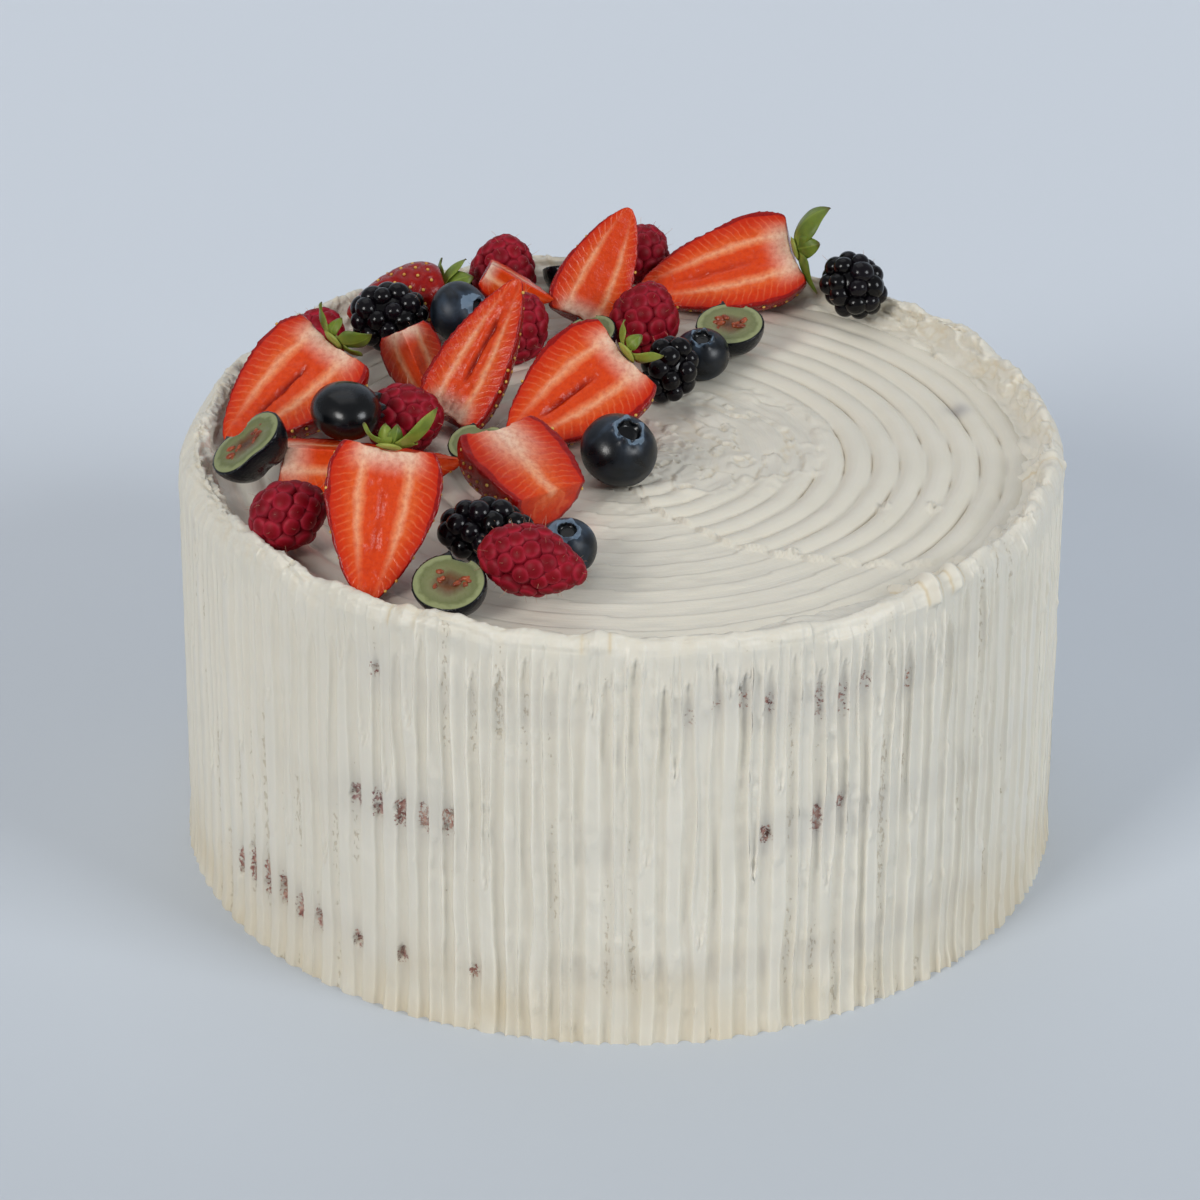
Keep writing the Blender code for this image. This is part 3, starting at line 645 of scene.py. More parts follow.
def cream_side(finish):
    """The combed side with its torn rim, as two half rings that meet at the left and the right."""
    rights = [(0.45, 0), (0.82, 0), (1, 0), (1, 0.14), (1, 0.36), (1, 0.66)]
    period = [(-1, 1, 1)] + [(-1, a, b) for a, b in reversed(rights)] + [(1, 0, 0)]
    period += [(1, a, b) for a, b in rights]
    sign, near, far = (np.tile(np.array(column, float), GROOVES) for column in zip(*period))
    groove = np.repeat(np.arange(GROOVES), len(period))
    radius, height = rim_profile()
    rows = len(height)
    radius, height = radius[:, None], height[:, None]
    shown = (np.arange(rows) < rows - 3)[:, None]

    own = stacked(groove[None] * 0.91, height, 0.2)
    width = GROOVE_HALF * (1 + 0.25 * soft_noise(own, 17 * MM))
    wander = 0.65 * MM * (soft_noise(own, 24 * MM, 5.5) + 0.3 * soft_noise(own, 7 * MM, 1.5)) * (1 - far)
    across = sign * (near * width + far * (GROOVE_PITCH / 2 - width)) + wander
    azimuth = -math.pi + (groove + 0.5) * math.tau / GROOVES + across / CAKE_RADIUS
    relief, lip = comb_relief(np.broadcast_to(groove, azimuth.shape), near, far, sign, azimuth, height)

    up = ease(TOP_HEIGHT - 1 * MM, TOP_HEIGHT + 5 * MM, height) * shown
    inside = ease(0.5 * MM, 3 * MM, CAKE_RADIUS - radius) * shown
    low = bell(around(azimuth, LOW_AZIMUTH), LOW_WIDTH)
    lean = LEAN * bell(around(azimuth, LEAN_AZIMUTH), LEAN_WIDTH)
    tear = RIM_RAGGED * ragged(azimuth)
    spread = LOW_SPREAD * low * ease(3 * MM, 8 * MM, CAKE_RADIUS - radius) * shown
    here = radius + SIDE_SWAY * sway(azimuth) * shown + up * (tear / 2 - lean) - spread
    here = here + BASE_FLARE * bell(height, 4 * MM) * shown
    tall = height + up * (tear - LOW_DROP * low)
    spot = polar(here, azimuth, tall)

    # Everything from here on is a push along the section's normal
    slope = np.stack([np.gradient(radius[:, 0]), np.gradient(height[:, 0])], -1)
    slope /= np.linalg.norm(slope, axis=1)[:, None]
    out, upward = slope[:, 1][:, None], -slope[:, 0][:, None]
    edge = TOP_HEIGHT + (0.8 + 1.8 * soft_noise(own * (1, 0, 1), 2.0)) * MM
    rim = np.maximum(ease(0, 2.5 * MM, height - edge) * shown, inside)
    push, crease = rim_push(spot, azimuth, radius, rim)
    push = push + (1 - inside) * shown * relief * (1 - 0.6 * up)
    push = push + 0.15 * MM * soft_noise(spot, 3 * MM, 2.2) * shown

    # Flakes torn up along the lips, and the crumb that the comb has laid bare
    groove_share = np.where(near < 1, 1 - near ** 2, 0) * (1 - inside) * shown
    flake = ease(0.45, 0.8, soft_noise(spot * (1, 1, 0.5), 1.9 * MM, 8.8))
    flake = flake * (far > 0.1) * (1 - inside) * shown
    push = push + 0.5 * MM * flake * bell(around(azimuth, -50), 90)
    zone = ease(-0.2, 0.5, soft_noise(spot, 22 * MM, 3.3) + 0.3 * bell(height - 20 * MM, 40 * MM))
    thin = np.zeros(azimuth.shape)
    bare = np.zeros(azimuth.shape)
    for aside, along, length in patch_distances(azimuth, height):
        patch = np.exp(-(aside / (1.9 * MM)) ** 4 - (along / (0.6 * length)) ** 4)
        bare = np.maximum(bare, patch * (1 - 0.25 * ease(50 * MM, 80 * MM, height)))
        halo = np.exp(-(aside / (4.5 * MM)) ** 2 - (along / (0.55 * length + 3 * MM)) ** 2)
        thin = thin + 0.3 * halo * (0.4 + 0.6 * groove_share)
    opened = ease(1.1, 1.3, bare + 0.75 * rough_noise(spot, 2.2 * MM, 6.1)) * shown
    push = push - 0.35 * MM * bare - 2.0 * MM * opened
    front = bell(around(azimuth, -78), 50) + bell(around(azimuth, 100), 60)
    thin = thin + band_of(height) * front * 0.24 * (0.35 + 0.65 * groove_share) * zone
    outward = polar(out * np.ones(azimuth.shape), azimuth, upward)
    spot = spot + outward * push[..., None]

    # Darker and yellower towards the foot of the side
    foot = 0.2 * ease(34 * MM, 2 * MM, height) * (1 + soft_noise(spot, 9 * MM, 1.2))
    pitted = ease(-0.15, 0.5, soft_noise(own, 22 * MM, 9.1))
    # Thin cream over sponge greys the side. The creases of the rim and the grooves get painted shade, and
    # the foot a darker yellow.
    values = {
        "thin": np.clip(thin, 0, 0.8) * (1 - rim),
        "crease": np.clip(0.55 * crease + 0.08 * groove_share + foot, 0, 0.7),
        "stain": np.zeros(azimuth.shape),
        "rough": np.clip(groove_share * pitted * (0.3 + 0.7 * zone), 0, 1),
        # A painted highlight along the comb's lips
        "lip": 0.7 * lip * (1 - inside) * shown,
        "bare": np.clip(bare + 0.25 * band_of(height) * groove_share * zone, 0, 1) * (1 - rim),
    }
    path = stacked(azimuth * CAKE_RADIUS, height - radius, 0.0)
    normals = np.cross(np.roll(spot, -1, 1) - np.roll(spot, 1, 1), np.gradient(spot, axis=0))
    normals /= np.linalg.norm(normals, axis=-1)[..., None] + 1e-12
    half = GROOVES // 2 * len(period)
    for name, first in (("cream_side_front", 0), ("cream_side_back", half)):
        columns = np.arange(first, first + half + 1) % (2 * half)
        count = len(columns)
        around_section = np.append(np.arange(rows), 0)
        faces = grid_faces(rows, count)
        closing = grid_faces(2, count)
        closing = np.where(closing < count, closing + (rows - 1) * count, closing - count)
        caps = [around_section[:-1] * count, around_section[:-1][::-1] * count + count - 1]
        shape = Shape(spot[:, columns], [faces, closing, np.array(caps)],
                      **{key: value[:, columns].ravel() for key, value in values.items()})
        mesh = mesh_of(name, shape, path[:, columns])
        mesh.normals_split_custom_set_from_vertices(normals[:, columns].reshape(-1, 3))
        add_piece(name, mesh, [finish], ["cream_coat"])


def juice(spot):
    """How pink the cream is: most beside cut strawberries and raspberries, in an uneven pool."""
    pink = np.zeros(spot.shape[:-1])
    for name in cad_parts:
        if name.startswith(("strawberry", "raspberry")) and not name.endswith("calyx"):
            low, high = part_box(name)
            middle = (low + high) / 2
            if low.z > TOP_HEIGHT + 4 * MM:
                continue
            reach = (high - low).to_2d().length / 2.8
            away = np.hypot(spot[..., 0] - middle.x, spot[..., 1] - middle.y)
            pink = np.maximum(pink, bell(np.maximum(away - reach, 0), 3.5 * MM))
    for x, y in JUICE_SPOTS:
        away = away_from(spot, x, y)
        pink = np.maximum(pink, 0.7 * bell(away, 9 * MM))
    return pink * (0.2 + 0.26 * soft_noise(spot, 6 * MM, 2.8))


def closed_disc(spot, radius, low):
    """The points and faces of a disc: a shown grid of rings from the edge in, and its flat back."""
    rows, columns = spot.shape[:2]
    azimuth = np.arctan2(spot[0, :, 1], spot[0, :, 0])
    points = np.concatenate([spot.reshape(-1, 3), polar(radius, azimuth, low),
                             [(0, 0, spot[-1, :, 2].mean()), (0, 0, low)]])
    numbers = np.arange(columns)
    ahead = (numbers + 1) % columns
    skirt = rows * columns
    last = skirt - columns
    wall = np.stack([numbers + skirt, ahead + skirt, ahead, numbers], -1)
    cap = fan(numbers + last, ahead + last, skirt + columns)
    under = fan(ahead + skirt, numbers + skirt, skirt + columns + 1)
    return points, [grid_faces(rows, columns, closed=True), wall, cap, under]


def cream_top(finish):
    """The ringed top: round rings cut by the comb, worn at the front and smeared in the middle."""
    rows, columns = 152, 480
    edge = CAKE_RADIUS - 5 * MM
    radius = np.linspace(edge, 1 * MM, rows)[:, None]
    azimuth = (np.arange(columns) / columns * math.tau - math.pi)[None]
    spot = polar(radius, azimuth, np.zeros((rows, columns)))
    degrees = np.degrees(azimuth)

    # The comb was set down again along a line; in front of it the rings are worn to flat steps
    swayed = radius - SIDE_SWAY * sway(azimuth) + 0.4 * MM * soft_noise(spot, 26 * MM, 3.1)
    phase = (OUTER_RING - swayed) / RING_PITCH
    start = -60 + (radius / MM - 54) * 0.6
    past = np.radians(degrees - start) * radius + 1.6 * MM * soft_noise(spot, 4 * MM, 1.9)
    worn = ease(0.6 * MM, -0.6 * MM, past) * ease(-150, -125, degrees)
    phase = phase + 0.45 * worn
    ring = np.abs(np.sin(math.pi * phase)) ** 0.55
    step = (phase % 1) ** 1.8
    form = ring * (1 - worn) + (0.4 + 0.4 * step) * worn
    depth = RING_DEPTH * (1.25 + 0.35 * soft_noise(spot, 30 * MM, 1.1))
    smeared = np.hypot((spot[..., 0] - 24 * MM) / 24, (spot[..., 1] - 8 * MM) / 27) / MM
    smeared = smeared + 0.22 * soft_noise(spot, 9 * MM, 4.7) + 0.1 * soft_noise(spot, 3 * MM, 4.1)
    border = bell(smeared - 1.0, 0.06)
    smeared = ease(1.15, 0.85, smeared)
    keep = (1 - smeared) * ease(9 * MM, 16 * MM, radius) * ease(0, 2 * MM, edge - radius)
    lift = depth * (form - 1) * keep

    # The heads of the rings stand up along that line, and a few rings carry a small torn curl
    heads = np.exp(-np.clip(past, 0, None) / (2.5 * MM)) * (past > 0)
    heads = heads * (degrees > -75) * (degrees < -20)
    lift = lift + heads * keep * (0.3 + 0.7 * ring) * 0.9 * MM
    for x, y in CURLS:
        away = away_from(spot, x, y)
        lift = lift + 1.1 * MM * bell(away - 1.1 * MM, 0.55 * MM) - 0.5 * MM * bell(away, 0.8 * MM)
    fine = stacked(swayed, azimuth * 0.02, 0.0)
    lift = lift + worn * 0.16 * MM * soft_noise(fine, 1.5 * MM, 3.9)

    # The smear: long flat drags round the cake that end in soft torn edges
    drag = stacked(radius * 1.6, azimuth * 0.014, 0.0) + 0.1 * spot
    plates = torn(drag, 8 * MM, 5.2)
    small = soft_noise(drag, 2.6 * MM, 9.4)
    lift = lift + smeared * (0.9 * MM * (plates - 0.5) + 0.08 * MM * small - 0.5 * MM)
    lift = lift + border * 0.4 * MM * (1 + soft_noise(spot, 4 * MM, 6.0))
    lift = lift + 0.1 * MM * soft_noise(spot, 5 * MM, 8.3) + 0.4 * MM
    spot[..., 2] = TOP_HEIGHT + lift
    # Painted shade: the ring valleys are greyed and yellowed, the low ends of the worn steps greyed, and
    # the low sides of the smear's torn steps yellowed. The grey spot and the greyer smear are thin cream,
    # and the whole top gets a faint even yellow.
    ring_valley_shade = ease(0.45, 0.0, ring) * keep * (1 - worn)
    thin = bell(away_from(spot, *FAINT_SPOT), 3 * MM) * 0.7
    thin = thin + 0.42 * ring_valley_shade * (0.6 + 0.5 * soft_noise(spot, 25 * MM, 2.2))
    thin = thin + 0.1 * smeared + 0.06 * worn * ease(0.3, 0.0, step)
    crease = 0.2 * ring_valley_shade + 0.25 * smeared * ease(0.15, 0.0, plates) + 0.04

    points, faces = closed_disc(spot, edge, TOP_HEIGHT - 3 * MM)
    extra = len(points) - rows * columns
    values = {"thin": np.clip(thin, 0, 0.8), "crease": crease, "stain": juice(spot),
              "rough": 0.1 * (1 - worn), "bare": np.zeros(spot.shape[:2])}
    values = {key: np.append(value.ravel(), np.zeros(extra)) for key, value in values.items()}
    shape = Shape(points, faces, **values)
    path = stacked(radius, azimuth * radius, 0.0).reshape(-1, 3)
    path = np.concatenate([path, np.zeros((extra, 3))])
    mesh = mesh_of("cream_top", shape, path)
    mesh.set_sharp_from_angle(angle=math.radians(80))
    add_piece("cream_top", mesh, [finish], ["cream_coat"])


def cream_layer(name, shown, back, finish):
    """A flat layer of cream inside the side coat, a little uneven on the face at height shown."""
    rows, columns = 12, 160
    radius = np.linspace(FILLING_RADIUS, 3 * MM, rows)[:, None]
    azimuth = (np.arange(columns) / columns * math.tau)[None] * (1 if shown > back else -1)
    spot = polar(radius, azimuth, shown * np.ones((rows, columns)))
    spread = 0.25 * MM * (soft_noise(spot, 12 * MM, shown * 1000) - 1)
    spot[..., 2] += spread * (1 if shown > back else -1)
    mesh = mesh_of(name, Shape(*closed_disc(spot, FILLING_RADIUS, back)))
    mesh.set_sharp_from_angle(angle=math.radians(60))
    add_piece(name, mesh, [finish], ["cream_coat"])


def sponge_layer(name, finish):
    """A round layer whose cut edge is open crumb."""
    low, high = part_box(name)
    rows, columns = 13, 420
    azimuth = (np.arange(columns) / columns * math.tau)[None]
    height = np.linspace(low.z, high.z, rows)[:, None]
    spot = polar(SPONGE_RADIUS * np.ones((rows, columns)), azimuth, height)
    crumb = rough_noise(spot, 3 * MM, 3.7)
    spot = polar(SPONGE_RADIUS + 0.7 * MM + 0.6 * MM * crumb, azimuth, height)
    points = np.concatenate([spot.reshape(-1, 3), [(0, 0, low.z), (0, 0, high.z)]])
    numbers = np.arange(columns)
    ahead = (numbers + 1) % columns
    last = (rows - 1) * columns
    bottom = fan(ahead, numbers, rows * columns)
    top = fan(numbers + last, ahead + last, rows * columns + 1)
    mesh = mesh_of("crumb_" + name, Shape(points, [grid_faces(rows, columns, closed=True), bottom, top]))
    mesh.set_sharp_from_angle(angle=math.radians(60))
    add_piece("crumb_" + name, mesh, [finish], [name])


# Fruit


def turned_shape(profile, columns, bulge=None):
    """A closed solid turned about X from (x, radius) points, whose first and last are its poles."""
    angles = np.arange(columns) / columns * math.tau
    ring = np.array(profile[1:-1])
    reach = ring[:, 1][:, None] * np.ones(columns)
    along = ring[:, 0][:, None] * np.ones(columns)
    if bulge is not None:
        along, reach = bulge(along, reach, angles[None])
    points = np.stack([along, reach * np.cos(angles), reach * np.sin(angles)], -1).reshape(-1, 3)
    points = np.concatenate([points, [(profile[0][0], 0, 0), (profile[-1][0], 0, 0)]])
    numbers = np.arange(columns)
    ahead = (numbers + 1) % columns
    last = (len(ring) - 1) * columns
    start = fan(ahead, numbers, len(points) - 2)
    end = fan(numbers + last, ahead + last, len(points) - 1)
    return Shape(points, [grid_faces(len(ring), columns, closed=True), start, end])


def carved(shape, cuts, voxel):
    """The fine even skin of a solid after cuts by planes of (point, outward normal)."""
    bm = bmesh.new()
    bm.from_mesh(mesh_of("blank", shape))
    bmesh.ops.recalc_face_normals(bm, faces=bm.faces)
    for point, outward in cuts:
        geometry = bm.verts[:] + bm.edges[:] + bm.faces[:]
        bmesh.ops.bisect_plane(bm, geom=geometry, plane_co=point, plane_no=outward,
                               clear_outer=True, dist=0.001 * MM)
        bmesh.ops.holes_fill(bm, edges=[e for e in bm.edges if e.is_boundary])
    mesh = bpy.data.meshes.new("blank")
    bm.to_mesh(mesh)
    bm.free()
    blank = placed("blank", mesh)
    skin = blank.modifiers.new("even skin", "REMESH")
    skin.mode = "VOXEL"
    skin.voxel_size = voxel
    soften = blank.modifiers.new("soften", "SMOOTH")
    soften.iterations = 2
    fine = bpy.data.meshes.new_from_object(blank.evaluated_get(bpy.context.evaluated_depsgraph_get()))
    bpy.data.objects.remove(blank)
    count = len(fine.vertices)
    points = np.zeros(count * 3)
    normals = np.zeros(count * 3)
    fine.vertices.foreach_get("co", points)
    fine.vertex_normals.foreach_get("vector", normals)
    faces = [np.array(tuple(p.vertices)) for p in fine.polygons]
    blocks = [np.array([f for f in faces if len(f) == size]) for size in {len(f) for f in faces}]
    return points.reshape(-1, 3), normals.reshape(-1, 3), blocks


def globe(detail):
    """The points and triangles of a unit sphere."""
    bm = bmesh.new()
    bmesh.ops.create_icosphere(bm, subdivisions=detail, radius=1)
    points = np.array([v.co for v in bm.verts])
    faces = np.array([[v.index for v in f.verts] for f in bm.faces])
    bm.free()
    return points, faces


def toward(direction, spin=0.0):
    """A turn that takes X to a direction, after a spin about X."""
    turn = Vector((1, 0, 0)).rotation_difference(Vector(direction)).to_matrix()
    return turn @ Matrix.Rotation(spin, 3, "X")


def strawberry_radius(x, length, width):
    share = np.clip(0.5 - x / length, 0, 1)
    along = (share * 8 + 0.6) / 8.6
    return width / 2 * np.sin(math.pi * np.clip(along, 0, 0.9999) ** 0.56) ** 0.6


def seeds_on(length, width, cuts, random):
    """Places and outward directions of the seeds: staggered rows, 2.9 mm apart and 3.9 mm along."""
    spots = []
    rows = int(length / (2.9 * MM))
    for row in range(1, rows):
        x = length * (0.5 - row / rows)
        behind, radius, ahead = strawberry_radius(np.array([x - MM, x, x + MM]), length, width).tolist()
        count = max(3, round(math.tau * radius / (3.9 * MM)))
        for k in range(count):
            angle = math.tau * (k + 0.5 * (row % 2) + random.uniform(-0.12, 0.12)) / count
            shifted = x + random.uniform(-0.3, 0.3) * MM
            place = Vector((shifted, radius * math.cos(angle), radius * math.sin(angle)))
            outward = Vector(((behind - ahead) / (2 * MM), math.cos(angle), math.sin(angle))).normalized()
            if all((place - Vector(point)).dot(Vector(normal)) < -0.3 * MM for point, normal in cuts):
                spots.append((place, outward))
    return spots


def strawberry(kind, length, width, cuts, random, crack=1.0):
    """A strawberry along X, its calyx end at +X, cut by planes, with its seeds in their dimples."""
    share = (1 - np.cos(np.linspace(0, math.pi, 44))) / 2
    profile = [(length * (0.5 - s), float(strawberry_radius(np.array(length * (0.5 - s)), length, width)))
               for s in share]
    profile = [(length * 0.46, 0)] + profile[:-1] + [(-length / 2, 0)]
    seed_shift = random.uniform(0, 50)

    def lumpy(along, reach, angle):
        spots = np.stack([along, reach * np.cos(angle), reach * np.sin(angle)], -1)
        return along, reach * (1 + 0.045 * soft_noise(spots, 11 * MM, seed_shift))

    points, normals, faces = carved(turned_shape(profile, 56, lumpy), cuts, 0.62 * MM)
    away = np.hypot(points[:, 1], points[:, 2])
    radius = strawberry_radius(points[:, 0], length, width)
    on_cut = np.zeros(len(points))
    for point, normal in cuts:
        off = (points - np.array(point)) @ np.array(normal)
        on_cut = np.maximum(on_cut, bell(off, 0.45 * MM))
    inward = 1 - on_cut * (1 - np.clip(away / (radius + 1e-6), 0, 1)) * (0.6 if kind == "chunk" else 1)
    share = (0.5 - points[:, 0] / length) * (0.45 if kind == "chunk" else 1)

    seeds = seeds_on(length, width, cuts, random)
    push = 0.1 * MM * soft_noise(points, 2 * MM, seed_shift)
    for place, _ in seeds:
        gap = np.linalg.norm(points - np.array(place), axis=1)
        push -= 0.6 * MM * bell(gap, 0.95 * MM) * (1 - 0.6 * on_cut)
    # The slit is a hollow along the core, which the flesh's material darkens as painted shade
    slit = np.zeros(len(points))
    if kind == "half":
        core = away * on_cut + 9 * MM * (1 - on_cut)
        half = 0.75 * MM * ease(0.2, 0.4, share) * ease(0.82, 0.6, share)
        half = half * (1 + 0.4 * soft_noise(points, 3 * MM, seed_shift + 3))
        slit = crack * ease(-0.3 * MM, 0.5 * MM, half - core)
        push -= 1.3 * MM * slit
        push -= 0.6 * MM * np.abs(rough_noise(points, 1.6 * MM, 2.0)) * on_cut * bell(core, 4 * MM)
    push += 0.12 * MM * rough_noise(points, 1.6 * MM, 5.0) * on_cut
    points = points + normals * push[:, None]
    shapes = [Shape(points, faces, inward=inward, share=share, slit=slit)]
    drop, drop_faces = globe(1)
    drop = drop * (0.4 * MM, 0.48 * MM, 0.48 * MM)
    for place, outward in seeds:
        turn = np.array(toward(outward))
        shapes.append(Shape(drop @ turn.T + np.array(place - outward * 0.28 * MM), [drop_faces], 1))
    return joined(shapes)


def strawberry_cuts(kind, length):
    """The planes that cut each kind of piece, as in the frame."""
    slope = math.sqrt(0.5)
    return {
        "whole": [],
        "half": [((0, 0, 0), (0, 0, 1))],
        "wedge": [((0, 0, 0), (0, slope, slope)), ((0, 0, 0), (0, -slope, slope))],
        "slice": [((0, 0, 0), (0, 0, 1)), ((0, 0, -8 * MM), (0, 0, -1))],
        "chunk": [((0, 0, 0), (0, 0, 1)),
                  ((-0.1 * length, 0, 0), tuple(Vector((-1, 0, 0.3)).normalized()))],
    }[kind]


def hair(root, outward, random, length):
    """A dried style: a thin bent thread of four stretches."""
    bend = Vector(random.uniform(-1, 1, 3)) * 0.9
    points = []
    for i in range(5):
        t = i / 4
        middle = root + outward * length * t + bend * length * 0.5 * t * t
        thick = 0.055 * MM * (1 - 0.6 * t)
        side = outward.orthogonal().normalized()
        for k in range(3):
            points.append(middle + Matrix.Rotation(math.tau * k / 3, 3, outward) @ side * thick)
    shape = Shape(points, [grid_faces(5, 3, closed=True), np.array([[2, 1, 0], [12, 13, 14]])], 1)
    shape.values["tone"] = np.full(15, random.uniform(0, 1))
    return shape


def drupelet_berry(length, width, taper, bead, plump, wide, hairs, detail, random):
    """A berry of drupelets along X over a core, with its tip at -X.

    plump is how far a drupelet of size 1 stands out, and wide how far it spreads: more where
    they press together.
    """
    reach = (length / 2 - plump * bead / 2, width / 2 - plump * bead / 2)
    spacing = 0.83 * bead
    count = round(math.tau * 2 * ((reach[0] + 2 * reach[1]) / 3) ** 2 / (0.866 * spacing ** 2))
    ball, ball_faces = globe(detail)
    core_points, core_faces = globe(3)
    narrow = 1 - taper * np.maximum(0, -core_points[:, 0])
    core_points = core_points * (reach[0] * 1.02, reach[1] * 1.02, reach[1] * 1.02)
    core_points[:, 1:] *= narrow[:, None]
    shapes = [Shape(core_points, [core_faces], outward=0.0, tone=0.0)]
    for i in range(count):
        x = 1 - 2 * (i + 0.5) / count
        angle = i * 2.39996 + random.uniform(-0.14, 0.14)
        round_off = math.sqrt(1 - x * x)
        narrow = 1 - taper * max(0, -x)
        way = Vector((x, round_off * math.cos(angle), round_off * math.sin(angle)))
        place = Vector((way.x * reach[0], way.y * reach[1] * narrow, way.z * reach[1] * narrow))
        outward = Vector((way.x / reach[0], way.y / reach[1], way.z / reach[1])).normalized()
        size = bead / 2 * random.uniform(0.88, 1.08) * (1 - 0.25 * max(0, -x - 0.6))
        turn = np.array(toward(outward, random.uniform(0, math.tau)))
        flat = ball * (plump, wide * random.uniform(0.96, 1.08), wide * random.uniform(0.92, 1.04))
        points = flat @ turn.T * size + np.array(place)
        tone = random.uniform(0, 1)
        shapes.append(Shape(points, [ball_faces], outward=np.clip(ball[:, 0], 0, 1), tone=tone))
        if random.uniform() < hairs:
            root = place + outward * size * plump * 0.97
            shapes.append(hair(root, outward, random, random.uniform(1.0, 2.2) * MM))
    return joined(shapes)


def blueberry_blank(width, oval, heart=0.0):
    """A blueberry about X with its five-lobed crown at +X, and with dents at its ends by heart."""
    radius = width / 2
    tall = 0.88 * radius
    crown = [(0.80, 0), (0.80, 0.10), (0.79, 0.20), (0.82, 0.26), (0.93, 0.30), (1.02, 0.335),
             (1.03, 0.36), (0.97, 0.385), (0.925, 0.42)]
    body = [(math.sin(a), math.cos(a)) for a in np.radians(np.linspace(62, -86, 20))]
    profile = [(x * tall, r * radius) for x, r in crown + body] + [(-tall, 0)]

    def lobes(along, reach, angle):
        near = ease(0.26 * radius, 0.335 * radius, reach) * ease(0.5 * radius, 0.38 * radius, reach)
        near = near * (along > 0)
        wave = np.cos(5 * angle)
        return along + near * wave * 0.07 * tall, reach * (1 + 0.16 * near * wave)

    shape = turned_shape(profile, 50, lobes)
    shape.points[:, 1] *= oval
    turned = np.arctan2(shape.points[:, 1], shape.points[:, 0])
    dent = bell(turned, 0.5) + 0.7 * bell(np.abs(turned) - math.pi, 0.6)
    shape.points *= (1 - heart * dent)[:, None]
    return shape


def whole_blueberry(width, oval, bloom, random):
    """A whole blueberry; its bloom is thickest round the crown and rubbed off inside it."""
    shape = blueberry_blank(width, oval)
    points = shape.points
    points += 0.15 * MM * soft_noise(points, 5 * MM, random.uniform(0, 50))[:, None] * np.sign(points)
    away = np.hypot(points[:, 1] / oval, points[:, 2]) / (width / 2)
    front = points[:, 0] > 0.6 * width / 2
    scar = (bell(away - 0.37, 0.06) * front + 0.5 * bell(away - 0.52, 0.15) * front) * min(1, bloom * 4)
    shape.values["bloom"] = bloom + 0.4 * scar - 1.0 * ease(0.33, 0.26, away) * front
    return shape


def half_blueberry(width, heart, random):
    """Half a blueberry, its cut face up: flesh inside a thick skin, with seeds in torn pockets."""
    points, normals, faces = carved(blueberry_blank(width, 1.0, heart), [((0, 0, 0), (0, 0, 1))], 0.42 * MM)
    on_cut = bell(points[:, 2], 0.3 * MM)
    radius = width / 2
    away = np.sqrt((points[:, 0] / (0.88 * radius)) ** 2 + (points[:, 1] / radius) ** 2)
    turned = np.arctan2(points[:, 1], points[:, 0])
    away = away / (1 - heart * (bell(turned, 0.5) + 0.7 * bell(np.abs(turned) - math.pi, 0.6)))
    inward = 1 - on_cut * (1 - np.clip(away, 0, 1))
    shift = random.uniform(0, 50)
    torn_core = on_cut * bell(away, 0.45)
    push = (0.35 * rough_noise(points, 1.5 * MM, shift) - 0.3) * MM * torn_core
    push += 0.2 * MM * on_cut * bell(away - 0.72, 0.22)
    points = points + normals * push[:, None]
    seed, seed_faces = globe(2)
    shapes = [Shape(points, faces, inward=inward)]
    for k in range(14):
        side = 1 if k % 2 else -1
        inner, outer = random.normal(0.05, 0.14), random.normal(0.32, 0.12)
        place = Vector((inner * radius, side * outer * radius, -0.2 * MM))
        lumps = 1 + 0.35 * soft_noise(seed * MM, 0.8 * MM, shift + k)
        size = random.uniform(0.4, 0.85) * MM
        shape = Shape(seed * lumps[:, None] * (1.6 * size, size, 0.8 * size), [seed_faces], 1)
        spin = Matrix.Rotation(random.uniform(0, math.pi), 4, "Z")
        shapes.append(shape.moved(Matrix.Translation(place) @ spin))
    return joined(shapes)


def sepal(hub, angle, reach, lift, fresh, random):
    """One pointed leaf of a calyx, folded along its midrib, wavy and hollowed, as a thin solid."""
    rows, columns = 15, 7
    turn = math.radians(angle)
    out = np.array((0, math.cos(turn), math.sin(turn)))
    across = np.array((0, -math.sin(turn), math.cos(turn)))
    stem = np.array((1.0, 0, 0))
    along = np.linspace(0, 1, rows)[:, None]
    side = np.linspace(-1, 1, columns)[None]
    half = 0.37 * reach * np.maximum(np.sin(math.pi * along ** 0.85) ** 0.75, 0.35 * (1 - along))
    half = np.maximum(half, 0.12 * MM)
    bend = np.radians(lift) * (0.3 + 0.7 * along)
    way = out * np.cos(bend)[..., None] + stem * np.sin(bend)[..., None]
    normal = np.cross(way, across)
    wave = random.uniform(0, math.tau)
    fold = 0.3 * half * np.abs(side) + 0.4 * MM * np.sin(along * 7 + wave) * side ** 2
    fold = fold - 0.06 * reach * along * (1 - along) * 4
    spot = np.array(hub) + out * 1.2 * MM + way * reach * along[..., None]
    spot = spot + across * (side * half)[..., None] + normal * fold[..., None]
    thick = 0.16 * MM * (1 - 0.6 * along * np.abs(side))
    upper = (spot + normal * thick[..., None]).reshape(-1, 3)
    lower = (spot - normal * thick[..., None]).reshape(-1, 3)
    grid = grid_faces(rows, columns)
    count = rows * columns
    border = np.concatenate([np.arange(columns), np.arange(2, rows + 1) * columns - 1,
                             np.arange(count - 2, count - columns - 1, -1),
                             np.arange(rows - 2, 0, -1) * columns])
    ahead = np.roll(border, -1)
    wall = np.stack([border, border + count, ahead + count, ahead], -1)
    flat_along = np.tile((along * np.ones((1, columns))).ravel(), 2)
    flat_side = np.tile((np.abs(side) * np.ones((rows, 1))).ravel(), 2)
    return Shape(np.concatenate([upper, lower]), [grid, grid[:, ::-1] + count, wall],
                 along=flat_along, side=flat_side, fresh=fresh)


